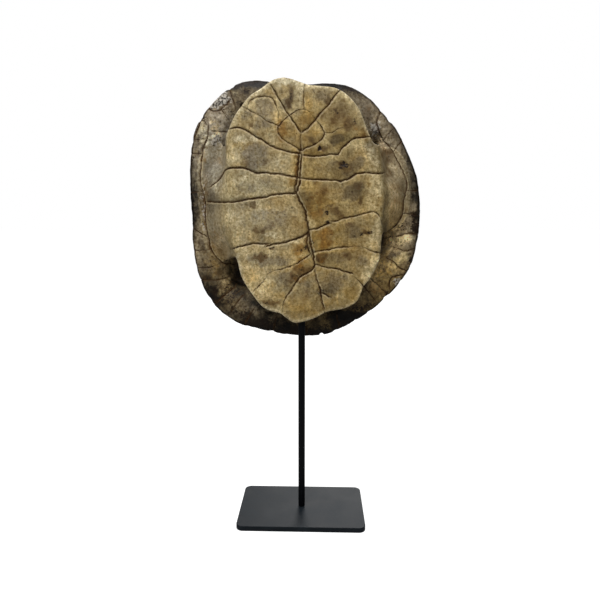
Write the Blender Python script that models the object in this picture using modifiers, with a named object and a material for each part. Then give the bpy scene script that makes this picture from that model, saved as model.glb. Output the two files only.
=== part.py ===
"""A bare-bone turtle shell, shown belly forward on a black steel rod and plate.

Metres, +Z up. The origin is the centre of the plate's underside, and the belly of the shell
(the plastron) faces -Y. The shell's own outlines are in millimetres, as (x, height above the
shell's middle), the way they are seen from the front.
"""

import math

import bmesh
import bpy
import numpy as np

MM = 0.001

# Stand
PLATE_SIZE = (0.150, 0.100, 0.006)
PLATE_CORNER_RADIUS = 0.008
PLATE_EDGE_BEVEL = 0.0006
ROD_RADIUS = 0.004
ROD_TOP = 0.400
ROD_EDGE_BEVEL = 0.0008
TOUCHING_GAP = 0.0003
EDGE_BEVEL_SEGMENTS = 2
EDGE_BEVEL_ANGLE = 60       # degrees; flatter edges than this keep no bevel

# Shell, in millimetres from here on
SHELL_MIDDLE_HEIGHT = 365.0
OUTLINE_CENTRE = (2.0, 5.0)

# Carapace, the domed back
RIM_DEPTH = 32.5            # how far behind the rod's axis the rim's edge lies
RIM_TILT = 2.5              # the front of the rim lies this much deeper, the rear this much less
DOME_HEIGHT = 68.0          # from the rim's edge to the top of the dome
DOME_FULLNESS = 2.3         # exponent along the radius
DOME_END_SHOULDER = 0.95    # exponent of the profile at the neck and tail
DOME_SIDE_SHOULDER = 0.68   # exponent of the profile at the sides, which are steeper
DOME_SIDE_REACH = 1.5       # exponent: higher keeps the steep profile closer to the sides
KEEL_HEIGHT = 2.5
KEEL_HALF_WIDTH = 11.0
KEEL_FADE = 4               # exponent: higher carries the keel closer to the rim
WALL_AT_TOP = 5.5
WALL_EXTRA_AT_RIM = 4.0
LIP_INNER_SHARE = 0.70      # the rim's underside reaches in to this share of the radius
# Share of the way from there out to the rim's edge, and depth from that edge
LIP_SECTION = ((0.0, 11.0), (0.08, 6.0), (0.3, -0.5), (0.55, -4.2), (0.8, -3.4), (0.95, -1.4))
# Where the underside stops short beside a leg: direction and half width in degrees, added share
LEG_GAPS = [(140, 7, 0.03), (41, 6, 0.10), (224, 12, 0.08), (339, 9, 0.10)]
INNER_RINGS = 6
OUTER_RINGS = 13
CARAPACE_MERIDIANS = 68      # a multiple of four, as a sphere then has one at direction 0

RIM_OUTLINE = [
    (3, 147), (28, 148.5), (53, 145), (76, 132.5), (94, 115), (110, 96), (122, 74), (132, 52),
    (138, 29), (140.5, 4), (140, -22), (136, -48), (130, -68), (116, -90), (98, -110), (76, -127),
    (54, -140), (31, -150.5), (3, -153), (-27, -150), (-52, -145), (-79, -137.5), (-97, -126),
    (-113, -110), (-126, -84), (-132, -58), (-134.5, -31), (-134, -5), (-135.5, 18), (-135.5, 42),
    (-134, 68), (-128, 96), (-117, 115), (-103, 130), (-87, 143), (-70, 150), (-51, 151.5), (-28, 149),
]
# Chips and seam ends along the rim: direction from the outline's centre in degrees, bite
RIM_NOTCHES = [
    (45, 2.5), (121, 3.0), (139, 2.5), (208, 1.6), (224, 1.6), (244, 2.0), (255, 2.6),
    (262, 1.6), (278, 4.8), (284, 2.5), (294.5, 1.6), (302, 2.0), (312, 2.4), (322, 2.0),
]

# Plastron, the flat belly, with the two bridges that turn back to the rim
PLASTRON_FACE_DEPTH = -12.5
PLASTRON_THICKNESS = 8.0
PLASTRON_CROWN = 1.6           # how much further back its sides and ends lie than its middle
PLASTRON_HALF_SIZE = (85.0, 132.0)
PLASTRON_EDGE_ROUNDING = 5.0   # exponent: higher is a squarer edge
PLASTRON_RING_SPREAD = 0.6     # exponent: lower crowds the rings towards the edge
PLASTRON_RINGS = 14
PLASTRON_MERIDIANS = 64      # also a multiple of four
BRIDGE_DEPTH = 31.0
BRIDGE_CURVE = 1.25            # exponent: higher eases the bridge away from the flat belly
BRIDGE_START_LEFT, BRIDGE_END_LEFT = -76.0, -121.0
BRIDGE_START_RIGHT, BRIDGE_END_RIGHT = 88.0, 123.0
# The bridges' ends drop back sooner: side, where across that starts and how wide it is, and the
# heights where it starts and is full
BRIDGE_CORNERS = [(-1, 78, 22, -14, -60), (-1, 83, 16, 20, 70), (1, 92, 18, 4, -30), (1, 84, 18, 18, 72)]
BRIDGE_CORNER_TURN = 1.15
PLASTRON_OUTLINE = [
    (-22, 144), (-12, 143), (0, 139), (10, 136), (33, 134), (44, 130), (56, 120), (64, 109),
    (70, 94), (76, 81), (81, 74), (90, 73), (104, 72), (118, 58), (125, 33), (123, 0), (113, -18),
    (102, -25), (92, -27), (90, -50), (85, -64), (78, -77), (71, -86), (64, -102), (50, -111),
    (30, -115), (16, -122), (2, -127), (-9, -128), (-17, -123), (-25, -117), (-34, -115),
    (-46, -109), (-59, -92), (-69, -74), (-75, -53), (-84, -56), (-97, -59), (-114, -42),
    (-120, -3), (-123, 30), (-120, 60), (-109, 77), (-97, 79), (-90, 76), (-86, 83), (-78, 98),
    (-71, 109), (-57, 125), (-43, 134), (-33, 141),
]

# Seams: where bones meet, and where the horny plates once met
SEAM_RADIUS = 1.1
SEAM_STAND_OFF = 0.15          # how far in front of the surface a seam's round cutter runs
BELLY_SEAMS = {
    "gular_left": [(-33, 136), (-21, 115), (-7, 95), (-1, 87)],
    "gular_right": [(42, 130), (26, 111), (7, 91)],
    "humeral_left": [(-86, 92), (-68, 91), (-43, 78), (-24, 67), (-6, 65)],
    "humeral_right": [(3, 61), (19, 60), (39, 63), (51, 73), (66, 82), (76, 81)],
    "midline_front": [(-1, 82), (-1, 66), (-3, 45), (-6, 19), (4, 3), (7, -21)],
    "pectoral_left": [(-104, 31), (-87, 46), (-59, 46), (-34, 42), (-9, 38)],
    "pectoral_right": [(3, 36), (39, 34), (56, 37), (71, 42), (92, 42)],
    "hinge_left": [(-114, 10), (-88, 10), (-59, 14), (-34, 18), (-12, 19)],
    "abdominal_left": [(-78, -41), (-60, -36), (-38, -37), (-8, -30), (2, -27)],
    "abdominal_right": [(12, -20), (31, -14), (49, -7), (71, -3), (91, -8)],
    "midline_rear": [(9, -30), (15, -59), (19, -80), (27, -116)],
    "femoral_right": [(19, -46), (35, -42), (56, -39), (74, -42), (91, -48)],
    "femoral_left": [(8, -49), (-19, -63), (-36, -70), (-57, -90)],
    "anal_left": [(10, -66), (-12, -88), (-20, -102), (-24, -118)],
    "anal_right": [(20, -61), (37, -64), (56, -68), (74, -87)],
}

# Horny-plate seams on the back: heights of the cross seams on the midline, and how far out
# the middle row of plates reaches
BACK_CROSS_HEIGHTS = (92, 38, -18, -72)
BACK_ROW_HALF_WIDTH = 31
BACK_ROW_POINT = 45
BACK_ROW_TOP, BACK_ROW_BOTTOM = 122, -112
BACK_ROW_BOTTOM_FLARE = 7
BACK_SIDE_FAN = 0.0125         # how far the side seams fan out, per millimetre of height
BACK_RING_SHARE = 0.87
BACK_RING_POINTS = 36
SEAM_END_GAP = 2.5             # seams that meet stop this short of each other
BELLY_SEAM_STEP = 30.0
BACK_SEAM_STEP = 14.0
BACK_SIDE_SEAM_END = 0.84      # share of the radius

WEDGE_HALF_DIAGONAL = 5.0
WEDGE_LENGTH = 24.0


def remove_everything():
    for thing in list(bpy.data.objects):
        bpy.data.objects.remove(thing, do_unlink=True)


def new_collection(name):
    collection = bpy.data.collections.new(name)
    bpy.context.scene.collection.children.link(collection)
    return collection


def new_material(name, colour, roughness, metallic):
    material = bpy.data.materials.new(name)
    material.use_nodes = True
    shader = material.node_tree.nodes["Principled BSDF"]
    shader.inputs["Base Color"].default_value = (*colour, 1.0)
    shader.inputs["Roughness"].default_value = roughness
    shader.inputs["Metallic"].default_value = metallic
    return material


def new_object(name, bm, collection, material=None):
    mesh = bpy.data.meshes.new(name)
    bm.to_mesh(mesh)
    bm.free()
    thing = bpy.data.objects.new(name, mesh)
    collection.objects.link(thing)
    if material:
        mesh.materials.append(material)
        mesh.shade_smooth()
        mesh.set_sharp_from_angle(angle=math.radians(35))
    else:
        thing.hide_render = True
        thing.display_type = "WIRE"
    return thing


def smooth_closed(points, steps=8):
    """Points along a smooth closed curve through the given ones."""
    here = np.array(points, float)
    before = np.roll(here, 1, axis=0)
    after = np.roll(here, -1, axis=0)
    beyond = np.roll(here, -2, axis=0)
    rows = []
    for step in range(steps):
        t = step / steps
        rows.append(0.5 * (2 * here + (after - before) * t
                           + (2 * before - 5 * here + 4 * after - beyond) * t ** 2
                           + (3 * here - before - 3 * after + beyond) * t ** 3))
    return np.stack(rows, axis=1).reshape(-1, 2)


def radius_by_direction(points):
    """Radius of an outline about its centre, as a function of the direction."""
    curve = smooth_closed(points) - np.array(OUTLINE_CENTRE)
    directions = np.arctan2(curve[:, 1], curve[:, 0])
    radii = np.hypot(curve[:, 0], curve[:, 1])
    order = np.argsort(directions)

    def radius(direction):
        return float(np.interp(direction, directions[order], radii[order], period=2 * math.pi))

    return radius


def smooth_step(value, low, high):
    t = min(max((value - low) / (high - low), 0.0), 1.0)
    return t * t * (3 - 2 * t)


def rim_depth(direction, share=1.0):
    """Depth of the rim's tilted plane, at a share of the rim's radius."""
    return RIM_DEPTH + RIM_TILT * share * math.sin(direction)


def dome_depth(direction, share, radius):
    """Depth of the carapace's outer face at a share of the rim's radius."""
    steepness = abs(math.cos(direction)) ** DOME_SIDE_REACH
    shoulder = DOME_END_SHOULDER + (DOME_SIDE_SHOULDER - DOME_END_SHOULDER) * steepness
    rise = max(0.0, 1 - share ** DOME_FULLNESS) ** shoulder
    across = share * radius * math.cos(direction)
    keel = KEEL_HEIGHT * math.exp(-(across / KEEL_HALF_WIDTH) ** 2)
    return rim_depth(direction, share) + DOME_HEIGHT * rise + keel * (1 - share ** KEEL_FADE)


def lip_inner_share(direction):
    """How far in the rim's underside reaches, as a share of the radius."""
    share = LIP_INNER_SHARE
    for degrees, half_width, extra in LEG_GAPS:
        away = (math.degrees(direction) - degrees + 180) % 360 - 180
        share += extra * math.exp(-(away / half_width) ** 2)
    return share


def carapace_section(direction, radius):
    """The carapace's section from the middle of its inside, round the rim, to its top."""
    section = []
    inner_share = lip_inner_share(direction)
    for ring in range(INNER_RINGS):
        share = inner_share * math.sin(0.5 * math.pi * ring / (INNER_RINGS - 1))
        wall = WALL_AT_TOP + WALL_EXTRA_AT_RIM * share ** 2
        section.append((share, dome_depth(direction, share, radius) - wall))
    for way_out, offset in LIP_SECTION:
        share = inner_share + (1 - inner_share) * way_out
        section.append((share, rim_depth(direction) + offset))
    for ring in range(OUTER_RINGS + 1):
        share = max(0.0, math.cos(0.5 * math.pi * ring / OUTER_RINGS))
        section.append((share, dome_depth(direction, share, radius)))
    return section


def plastron_depth(x, z, crown=PLASTRON_CROWN):
    """Depth of the belly's outer face: nearly flat, and back to the rim at the bridges."""
    if x < 0:
        out = (x - BRIDGE_START_LEFT) / (BRIDGE_END_LEFT - BRIDGE_START_LEFT)
    else:
        out = (x - BRIDGE_START_RIGHT) / (BRIDGE_END_RIGHT - BRIDGE_START_RIGHT)
    turn = min(max(out, 0.0), 1.0) ** BRIDGE_CURVE
    for side, start, width, low, high in BRIDGE_CORNERS:
        corner = smooth_step(side * x - start, 0, width) * smooth_step(z, low, high)
        turn += (BRIDGE_CORNER_TURN - turn) * corner
    half_width, half_height = PLASTRON_HALF_SIZE
    face = PLASTRON_FACE_DEPTH + crown * ((x / half_width) ** 2 + (z / half_height) ** 2)
    return face + (BRIDGE_DEPTH - face) * turn


def plastron_section(direction, radius):
    """The plastron's section from the middle of its outside, round its edge, to its inside."""
    section = []
    for ring in range(PLASTRON_RINGS + 1):
        polar = math.pi * ring / PLASTRON_RINGS
        share = max(0.0, math.sin(polar)) ** PLASTRON_RING_SPREAD
        thickness = max(0.0, 1 - share ** PLASTRON_EDGE_ROUNDING) ** (1 / PLASTRON_EDGE_ROUNDING)
        side = -1 if ring * 2 < PLASTRON_RINGS else 1
        x = OUTLINE_CENTRE[0] + share * radius * math.cos(direction)
        z = OUTLINE_CENTRE[1] + share * radius * math.sin(direction)
        outer = plastron_depth(x, z)
        inner = plastron_depth(x, z, crown=0.0) + PLASTRON_THICKNESS
        section.append((share, 0.5 * (inner + outer + side * (inner - outer) * thickness)))
    return section


def wrapped_sphere(outline, section_of, meridians, rings):
    """A closed body: a sphere whose meridians follow a section and whose equator an outline."""
    radius_of = radius_by_direction(outline)
    bm = bmesh.new()
    bmesh.ops.create_uvsphere(bm, u_segments=meridians, v_segments=rings, radius=1.0)
    sections = {}
    for vert in bm.verts:
        direction = math.atan2(vert.co.y, vert.co.x)
        ring = round(math.acos(max(-1.0, min(1.0, vert.co.z))) / math.pi * rings)
        if ring in (0, rings):
            direction = 0.0
        meridian = round(direction / (2 * math.pi) * meridians) % meridians
        if meridian not in sections:
            radius = radius_of(direction)
            sections[meridian] = (radius, section_of(direction, radius))
        radius, section = sections[meridian]
        share, depth = section[ring]
        x = OUTLINE_CENTRE[0] + share * radius * math.cos(direction)
        z = OUTLINE_CENTRE[1] + share * radius * math.sin(direction) + SHELL_MIDDLE_HEIGHT
        vert.co = (x * MM, depth * MM, z * MM)
    return bm


def tubes(name, paths, collection):
    """Thin tubes along the given paths, as one cutter mesh."""
    curve = bpy.data.curves.new(name, "CURVE")
    curve.dimensions = "3D"
    curve.bevel_depth = SEAM_RADIUS * MM
    curve.bevel_resolution = 0
    curve.use_fill_caps = True
    for path in paths:
        spline = curve.splines.new("POLY")
        if path[0] == path[-1]:
            path = path[:-1]
            spline.use_cyclic_u = True
        spline.points.add(len(path) - 1)
        for point, place in zip(spline.points, path):
            point.co = (*place, 1.0)
    guide = bpy.data.objects.new(name + "_guide", curve)
    collection.objects.link(guide)
    graph = bpy.context.evaluated_depsgraph_get()
    mesh = bpy.data.meshes.new_from_object(guide.evaluated_get(graph))
    bm = bmesh.new()
    bm.from_mesh(mesh)
    bmesh.ops.remove_doubles(bm, verts=bm.verts, dist=1e-6)
    bmesh.ops.recalc_face_normals(bm, faces=bm.faces)
    bpy.data.meshes.remove(mesh)
    bpy.data.objects.remove(guide, do_unlink=True)
    return new_object(name, bm, collection)


def belly_path(points):
    path = []
    for x, z in points:
        depth = plastron_depth(x, z) - SEAM_STAND_OFF
        path.append((x * MM, depth * MM, (z + SHELL_MIDDLE_HEIGHT) * MM))
    return path


def back_path(points, radius_of):
    path = []
    for x, z in points:
        dx = x - OUTLINE_CENTRE[0]
        dz = z - OUTLINE_CENTRE[1]
        direction = math.atan2(dz, dx)
        radius = radius_of(direction)
        depth = dome_depth(direction, math.hypot(dx, dz) / radius, radius) + SEAM_STAND_OFF
        path.append((x * MM, depth * MM, (z + SHELL_MIDDLE_HEIGHT) * MM))
    return path


def ring_point(direction, share, radius_of):
    radius = radius_of(direction)
    return (OUTLINE_CENTRE[0] + share * radius * math.cos(direction),
            OUTLINE_CENTRE[1] + share * radius * math.sin(direction))


def along(points, spacing):
    """The same line with points added so that it can follow a curved surface."""
    line = [points[0]]
    for start, end in zip(points, points[1:]):
        steps = max(1, round(math.dist(start, end) / spacing))
        for step in range(1, steps + 1):
            t = step / steps
            line.append((start[0] + (end[0] - start[0]) * t, start[1] + (end[1] - start[1]) * t))
    return line


def back_seams(radius_of):
    """Seams between the horny plates' places on the back."""
    seams = []
    for height in BACK_CROSS_HEIGHTS:
        edge = BACK_ROW_HALF_WIDTH - SEAM_END_GAP
        seams.append([(-edge, height), (edge, height)])
    for side in (-1, 1):
        border = [(side * BACK_ROW_HALF_WIDTH, BACK_ROW_TOP)]
        for height, following in zip(BACK_CROSS_HEIGHTS, BACK_CROSS_HEIGHTS[1:]):
            point_height = 0.5 * (height + following)
            border.append((side * BACK_ROW_HALF_WIDTH, height))
            border.append((side * BACK_ROW_POINT, point_height))
            inner = (side * (BACK_ROW_POINT + SEAM_END_GAP), point_height)
            outward = math.atan2(point_height * BACK_SIDE_FAN, side)
            seams.append([inner, ring_point(outward, BACK_SIDE_SEAM_END, radius_of)])
        border.append((side * BACK_ROW_HALF_WIDTH, BACK_CROSS_HEIGHTS[-1]))
        border.append((side * (BACK_ROW_HALF_WIDTH + BACK_ROW_BOTTOM_FLARE), BACK_ROW_BOTTOM))
        seams.append(border)
    seams = [along(seam, BACK_SEAM_STEP) for seam in seams]
    ring = []
    for step in range(BACK_RING_POINTS):
        direction = 2 * math.pi * step / BACK_RING_POINTS
        ring.append(ring_point(direction, BACK_RING_SHARE, radius_of))
    seams.append(ring + ring[:1])
    return [back_path(seam, radius_of) for seam in seams]


def rim_wedges(collection):
    """Square bars standing on their edge, one at each chip in the rim."""
    radius_of = radius_by_direction(RIM_OUTLINE)
    bm = bmesh.new()
    for degrees, bite in RIM_NOTCHES:
        direction = math.radians(degrees)
        reach = radius_of(direction) - bite + WEDGE_HALF_DIAGONAL
        x = OUTLINE_CENTRE[0] + reach * math.cos(direction)
        z = OUTLINE_CENTRE[1] + reach * math.sin(direction) + SHELL_MIDDLE_HEIGHT
        made = bmesh.ops.create_cone(bm, cap_ends=True, segments=4, radius1=WEDGE_HALF_DIAGONAL,
                                     radius2=WEDGE_HALF_DIAGONAL, depth=WEDGE_LENGTH)
        for vert in made["verts"]:
            turned = math.atan2(vert.co.y, vert.co.x) + direction
            vert.co = ((x + WEDGE_HALF_DIAGONAL * math.cos(turned)) * MM,
                       (rim_depth(direction) + vert.co.z) * MM,
                       (z + WEDGE_HALF_DIAGONAL * math.sin(turned)) * MM)
    bmesh.ops.recalc_face_normals(bm, faces=bm.faces)
    return new_object("rim_wedges", bm, collection)


def boolean(thing, operation, cutter):
    modifier = thing.modifiers.new(operation.lower(), "BOOLEAN")
    modifier.operation = operation
    modifier.solver = "EXACT"
    modifier.object = cutter


def make_shell(parts, cutters, material):
    rings = INNER_RINGS + len(LIP_SECTION) + OUTER_RINGS
    carapace = wrapped_sphere(RIM_OUTLINE, carapace_section, CARAPACE_MERIDIANS, rings)
    shell = new_object("shell", carapace, parts, material)
    plastron = wrapped_sphere(PLASTRON_OUTLINE, plastron_section, PLASTRON_MERIDIANS,
                              PLASTRON_RINGS)
    boolean(shell, "UNION", new_object("plastron", plastron, cutters))
    boolean(shell, "DIFFERENCE", rim_wedges(cutters))
    belly = [belly_path(along(seam, BELLY_SEAM_STEP)) for seam in BELLY_SEAMS.values()]
    boolean(shell, "DIFFERENCE", tubes("belly_seams", belly, cutters))
    back = back_seams(radius_by_direction(RIM_OUTLINE))
    boolean(shell, "DIFFERENCE", tubes("back_seams", back, cutters))


def bevel_edges(thing, width):
    bevel = thing.modifiers.new("edges", "BEVEL")
    bevel.width = width
    bevel.segments = EDGE_BEVEL_SEGMENTS
    bevel.angle_limit = math.radians(EDGE_BEVEL_ANGLE)


def make_rod(parts, material):
    bottom = PLATE_SIZE[2] + TOUCHING_GAP
    bm = bmesh.new()
    bmesh.ops.create_cone(bm, cap_ends=True, segments=32, radius1=ROD_RADIUS,
                          radius2=ROD_RADIUS, depth=ROD_TOP - bottom)
    rod = new_object("rod", bm, parts, material)
    rod.location = (0, 0, 0.5 * (ROD_TOP + bottom))
    bevel_edges(rod, ROD_EDGE_BEVEL)


def make_base(parts, material):
    bm = bmesh.new()
    bmesh.ops.create_cube(bm, size=1.0)
    bmesh.ops.scale(bm, vec=PLATE_SIZE, verts=bm.verts)
    uprights = [edge for edge in bm.edges if abs(edge.verts[0].co.z - edge.verts[1].co.z) > 1e-6]
    bmesh.ops.bevel(bm, geom=uprights, offset=PLATE_CORNER_RADIUS, segments=8, profile=0.5,
                    affect="EDGES")
    base = new_object("base", bm, parts, material)
    base.location = (0, 0, 0.5 * PLATE_SIZE[2])
    bevel_edges(base, PLATE_EDGE_BEVEL)


def main():
    remove_everything()
    parts = new_collection("turtle_shell_on_stand")
    cutters = new_collection("cutters")
    bone = new_material("bare_bone", (0.46, 0.36, 0.22), 0.42, 0.0)
    rod_paint = new_material("black_rod_paint", (0.006, 0.006, 0.007), 0.4, 0.0)
    plate_paint = new_material("black_plate_paint", (0.014, 0.016, 0.018), 0.45, 0.0)
    make_shell(parts, cutters, bone)
    make_rod(parts, rod_paint)
    make_base(parts, plate_paint)


main()
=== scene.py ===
"""The looks of a turtle shell on a black stand: bare, varnished bone, built around the CAD frame."""

import functools
import math
from types import SimpleNamespace

import bmesh
import bpy
import numpy as np
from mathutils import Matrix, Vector


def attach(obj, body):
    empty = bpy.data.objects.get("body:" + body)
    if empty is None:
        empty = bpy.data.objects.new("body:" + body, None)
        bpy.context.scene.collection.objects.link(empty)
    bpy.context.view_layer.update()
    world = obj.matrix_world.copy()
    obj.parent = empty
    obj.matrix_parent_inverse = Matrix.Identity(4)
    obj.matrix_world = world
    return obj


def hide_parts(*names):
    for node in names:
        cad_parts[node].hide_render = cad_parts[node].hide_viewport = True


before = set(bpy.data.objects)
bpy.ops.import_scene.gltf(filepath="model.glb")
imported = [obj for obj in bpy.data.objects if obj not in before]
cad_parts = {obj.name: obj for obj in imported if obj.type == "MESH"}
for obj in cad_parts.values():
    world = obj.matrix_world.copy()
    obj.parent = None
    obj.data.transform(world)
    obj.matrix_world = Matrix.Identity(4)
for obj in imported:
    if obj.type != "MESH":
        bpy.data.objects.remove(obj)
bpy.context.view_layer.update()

MM = 0.001

# ---------------------------------------------------------------- the camera and the picture
PHOTO_SIDE = 600
FOCAL_PIXELS = 569.5
SENSOR_WIDTH = 36.0
CAMERA_PLACE = (0.0182, -0.6577, 0.362)
CAMERA_PITCH_DOWN = 8.59
CAMERA_TURN = 1.76
WORLD_LIGHT = 0.05
FLOOR_ALBEDO = 0.3
FLOOR_GLOW = 1.0
FLOOR_HALF_SIZE = 12.0
# Name, place, what it points at, size, power
LIGHTS = [
    ("key", (-0.3, -1.4, 1.75), (0.0, 0.0, 0.35), 0.8, 20.0),
    ("top_left", (-0.9, -0.5, 2.0), (0.0, 0.0, 0.35), 0.8, 13.0),
    ("top_right", (0.9, -0.5, 2.0), (0.0, 0.0, 0.35), 0.8, 7.0),
    ("behind", (0.2, 1.8, 1.1), (0.0, 0.0, 0.35), 1.2, 12.0),
]

# ---------------------------------------------------------------- the shell's form, in millimetres
# Outlines are (x, height above the shell's middle), as seen from the front.
SHELL_MIDDLE_HEIGHT = 365.0
OUTLINE_CENTRE = (2.0, 5.0)

RIM_DEPTH = 32.5
RIM_TILT = 2.5
DOME_HEIGHT = 68.0
DOME_FULLNESS = 2.3
DOME_END_SHOULDER = 0.95
DOME_SIDE_SHOULDER = 0.68
DOME_SIDE_REACH = 1.5
KEEL_HEIGHT = 2.5
KEEL_HALF_WIDTH = 11.0
KEEL_FADE = 4
WALL_AT_TOP = 5.5
WALL_EXTRA_AT_RIM = 4.0
LIP_INNER_SHARE = 0.70
LIP_SECTION = ((0.0, 11.0), (0.08, 6.0), (0.3, -0.5), (0.55, -4.2), (0.8, -3.4), (0.95, -1.4))
# Where the rim's underside stops short beside a leg: direction and half width in degrees, added share
LEG_GAPS = [(140, 7, 0.03), (41, 6, 0.10), (224, 12, 0.08), (339, 9, 0.10)]

RIM_OUTLINE = [
    (3, 147), (28, 148.5), (53, 145), (76, 132.5), (94, 115), (110, 96), (122, 74), (132, 52),
    (138, 29), (140.5, 4), (140, -22), (136, -48), (130, -68), (116, -90), (98, -110), (76, -127),
    (54, -140), (31, -150.5), (3, -153), (-27, -150), (-52, -145), (-79, -137.5), (-97, -126),
    (-113, -110), (-126, -84), (-132, -58), (-134.5, -31), (-134, -5), (-135.5, 18), (-135.5, 42),
    (-134, 68), (-128, 96), (-117, 115), (-103, 130), (-87, 143), (-70, 150), (-51, 151.5), (-28, 149),
]
# Chips and seam ends along the rim: direction in degrees, bite
RIM_NOTCHES = [
    (45, 2.5), (121, 3.0), (139, 2.5), (208, 1.6), (224, 1.6), (244, 2.0), (255, 2.6),
    (262, 1.6), (278, 4.8), (284, 2.5), (294.5, 1.6), (302, 2.0), (312, 2.4), (322, 2.0),
]

PLASTRON_FACE_DEPTH = -12.5
PLASTRON_THICKNESS = 8.0
PLASTRON_CROWN = 1.6
PLASTRON_HALF_SIZE = (85.0, 132.0)
PLASTRON_EDGE_ROUNDING = 5.0
PLASTRON_RING_SPREAD = 0.6
BRIDGE_DEPTH = 31.0
BRIDGE_CURVE = 1.25
BRIDGE_START_LEFT, BRIDGE_END_LEFT = -76.0, -121.0
BRIDGE_START_RIGHT, BRIDGE_END_RIGHT = 88.0, 123.0
BRIDGE_CORNERS = [(-1, 78, 22, -14, -60), (-1, 83, 16, 20, 70), (1, 92, 18, 4, -30), (1, 84, 18, 18, 72)]
BRIDGE_CORNER_TURN = 1.15
# The flat plates' side edges stand proud of the bridges: height, edge across, step there
PLATE_EDGE_LEFT = [(-70, -70, 8.0), (-45, -76, 8.0), (-34, -79, 0.0), (44, -85, 0.0), (64, -87, 5.0)]
PLATE_EDGE_RIGHT = [
    (-50, 90, 8.0), (-10, 91, 5.0), (14, 92, 4.0), (20, 95, 4.0), (43, 91, 3.5), (70, 84, 4.0),
]
PLATE_EDGE_WIDTH = 2.6
PLASTRON_OUTLINE = [
    (-22, 144), (-12, 143), (0, 139), (10, 136), (33, 134), (44, 130), (56, 120), (64, 109),
    (70, 94), (76, 81), (81, 74), (90, 73), (104, 72), (118, 58), (125, 33), (123, 0), (113, -18),
    (102, -25), (92, -27), (90, -50), (85, -64), (78, -77), (71, -86), (64, -102), (50, -111),
    (30, -115), (16, -122), (2, -127), (-9, -128), (-17, -123), (-25, -117), (-34, -115),
    (-46, -109), (-59, -92), (-69, -74), (-75, -53), (-84, -56), (-97, -59), (-114, -42),
    (-120, -3), (-123, 30), (-120, 60), (-109, 77), (-97, 79), (-90, 76), (-86, 83), (-78, 98),
    (-71, 109), (-57, 125), (-43, 134), (-33, 141),
]

# How finely the surface is meshed
CARAPACE_MERIDIANS, CARAPACE_INNER_RINGS, CARAPACE_LIP_RINGS, CARAPACE_OUTER_RINGS = 420, 30, 26, 90
PLASTRON_MERIDIANS, PLASTRON_RINGS = 420, 64
VOXEL = 0.9
RELAX_ROUNDS, RELAX_WEIGHT = 3, 0.5
BRIDGE_RELAX_ROUNDS = 24
BRIDGE_RELAX_ACROSS, BRIDGE_RELAX_DEPTHS = (70, 92), (-12, -4)
SHELL_TRIANGLES = 188000
RIM_CARE, BACK_CARE = 0.85, 0.6      # how closely the rim and the back keep their mesh; the belly's is 1
CARE_FACTOR = 0.004
WEIGHT_LEVELS = 20
LUMP_TABLE = 97
# How far off the belly or the back a point starts to leave it, and where it has left it
BELLY_BAND, BACK_BAND = (2.6, 4.2), (1.6, 3.0)
BELLY_EDGE_BAND = (-3.0, -1.0)       # the same across the belly's outline
RIM_BAND = 0.04                      # the same at the rim's inner edge, as a share of the radius

# Relief, in millimetres
STEEP_CHIP_SLOPE, GENTLE_CHIP_SLOPE, GENTLE_CHIP_SHARE = 1.2, 0.35, 0.8
DEEP_CHIP = 4.0                      # a chip deeper than this is steep on both sides
SERRATED_FROM = (0.1, 0.7)           # of the sine of the direction, below the middle
SERRATION, SERRATION_ELSEWHERE = 1.2, 0.35
SERRATION_STEPS, SERRATION_SEED = 260, 12
GROOVE_WIDENING, GROOVE_DEPTH_SHARE = 1.1, 0.75
PILLOW_HEIGHT, PILLOW_REACH = 0.45, 5.0
PILLOW_FROM_DEPTH = 0.55
# Unevenness in three layers: size, seed, height
BELLY_SWELLS = ((42, 31, 0.55), (12, 32, 0.22), (3.5, 33, 0.09))
RIM_SWELLS = ((24, 34, 0.5), (8, 35, 0.4), (2.6, 36, 0.22))
BACK_SWELLS = ((30, 37, 0.5), (9, 38, 0.2), (3, 39, 0.07))
# How far each group of seams strays from its line, and over what length
JAGGEDNESS = {
    "plates": (0.6, 3.4), "midline": (1.1, 3.0), "midline_twin": (1.0, 2.6), "rings": (0.6, 3.4),
    "sutures": (0.7, 2.8),
}
JAG_SEED = 60
BACK_UNROLL = 0.7
BACK_INSET = 0.45
PIT_RAGGEDNESS, PIT_LUMP_SIZE, PIT_EDGE = 0.45, 2.4, (0.35, 1.0)
# Eroded hollows: x, height, half width, half height, depth
BELLY_PITS = [
    (46, 52, 5, 4, 0.8), (21, 68, 3, 3, 0.9), (-51, 43, 2.5, 1.8, 0.8), (28, -93, 4.5, 3, 0.9),
    (21, -82, 1.6, 2.6, 0.8), (69, -26, 4, 3, 0.4), (-38, -102, 6, 4, 0.3), (-18, 30, 1.5, 1.5, 0.5),
    (36, -87, 2, 1.2, 0.5), (-8, 0, 1.2, 1.2, 0.5),
]
RIM_PITS = [
    (-103, 121, 6, 4, 1.2), (-92, 72, 4, 9, 1.5), (88, 84, 5, 14, 1.8), (94, 72, 4, 8, 1.2),
    (128, -62, 4, 3, 0.9), (-120, -80, 5, 6, 0.8), (-108, -96, 6, 4, 0.8), (133, 18, 4, 9, 0.9),
    (135, -12, 3, 7, 0.9), (-70, -132, 5, 3, 0.8), (60, -132, 6, 4, 0.8), (-86, 138, 5, 4, 0.9),
]


def curve_point(before, start, end, after, t):
    """A point at a share of the way from start to end, on a smooth curve through all four."""
    return 0.5 * (2 * start + (end - before) * t
                  + (2 * before - 5 * start + 4 * end - after) * t ** 2
                  + (3 * start - before - 3 * end + after) * t ** 3)


def smooth_closed(points, steps=10):
    """Points along a smooth closed curve through the given ones."""
    here = np.array(points, float)
    around = [np.roll(here, shift, axis=0) for shift in (1, 0, -1, -2)]
    rows = [curve_point(*around, step / steps) for step in range(steps)]
    return np.stack(rows, axis=1).reshape(-1, 2)


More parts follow.
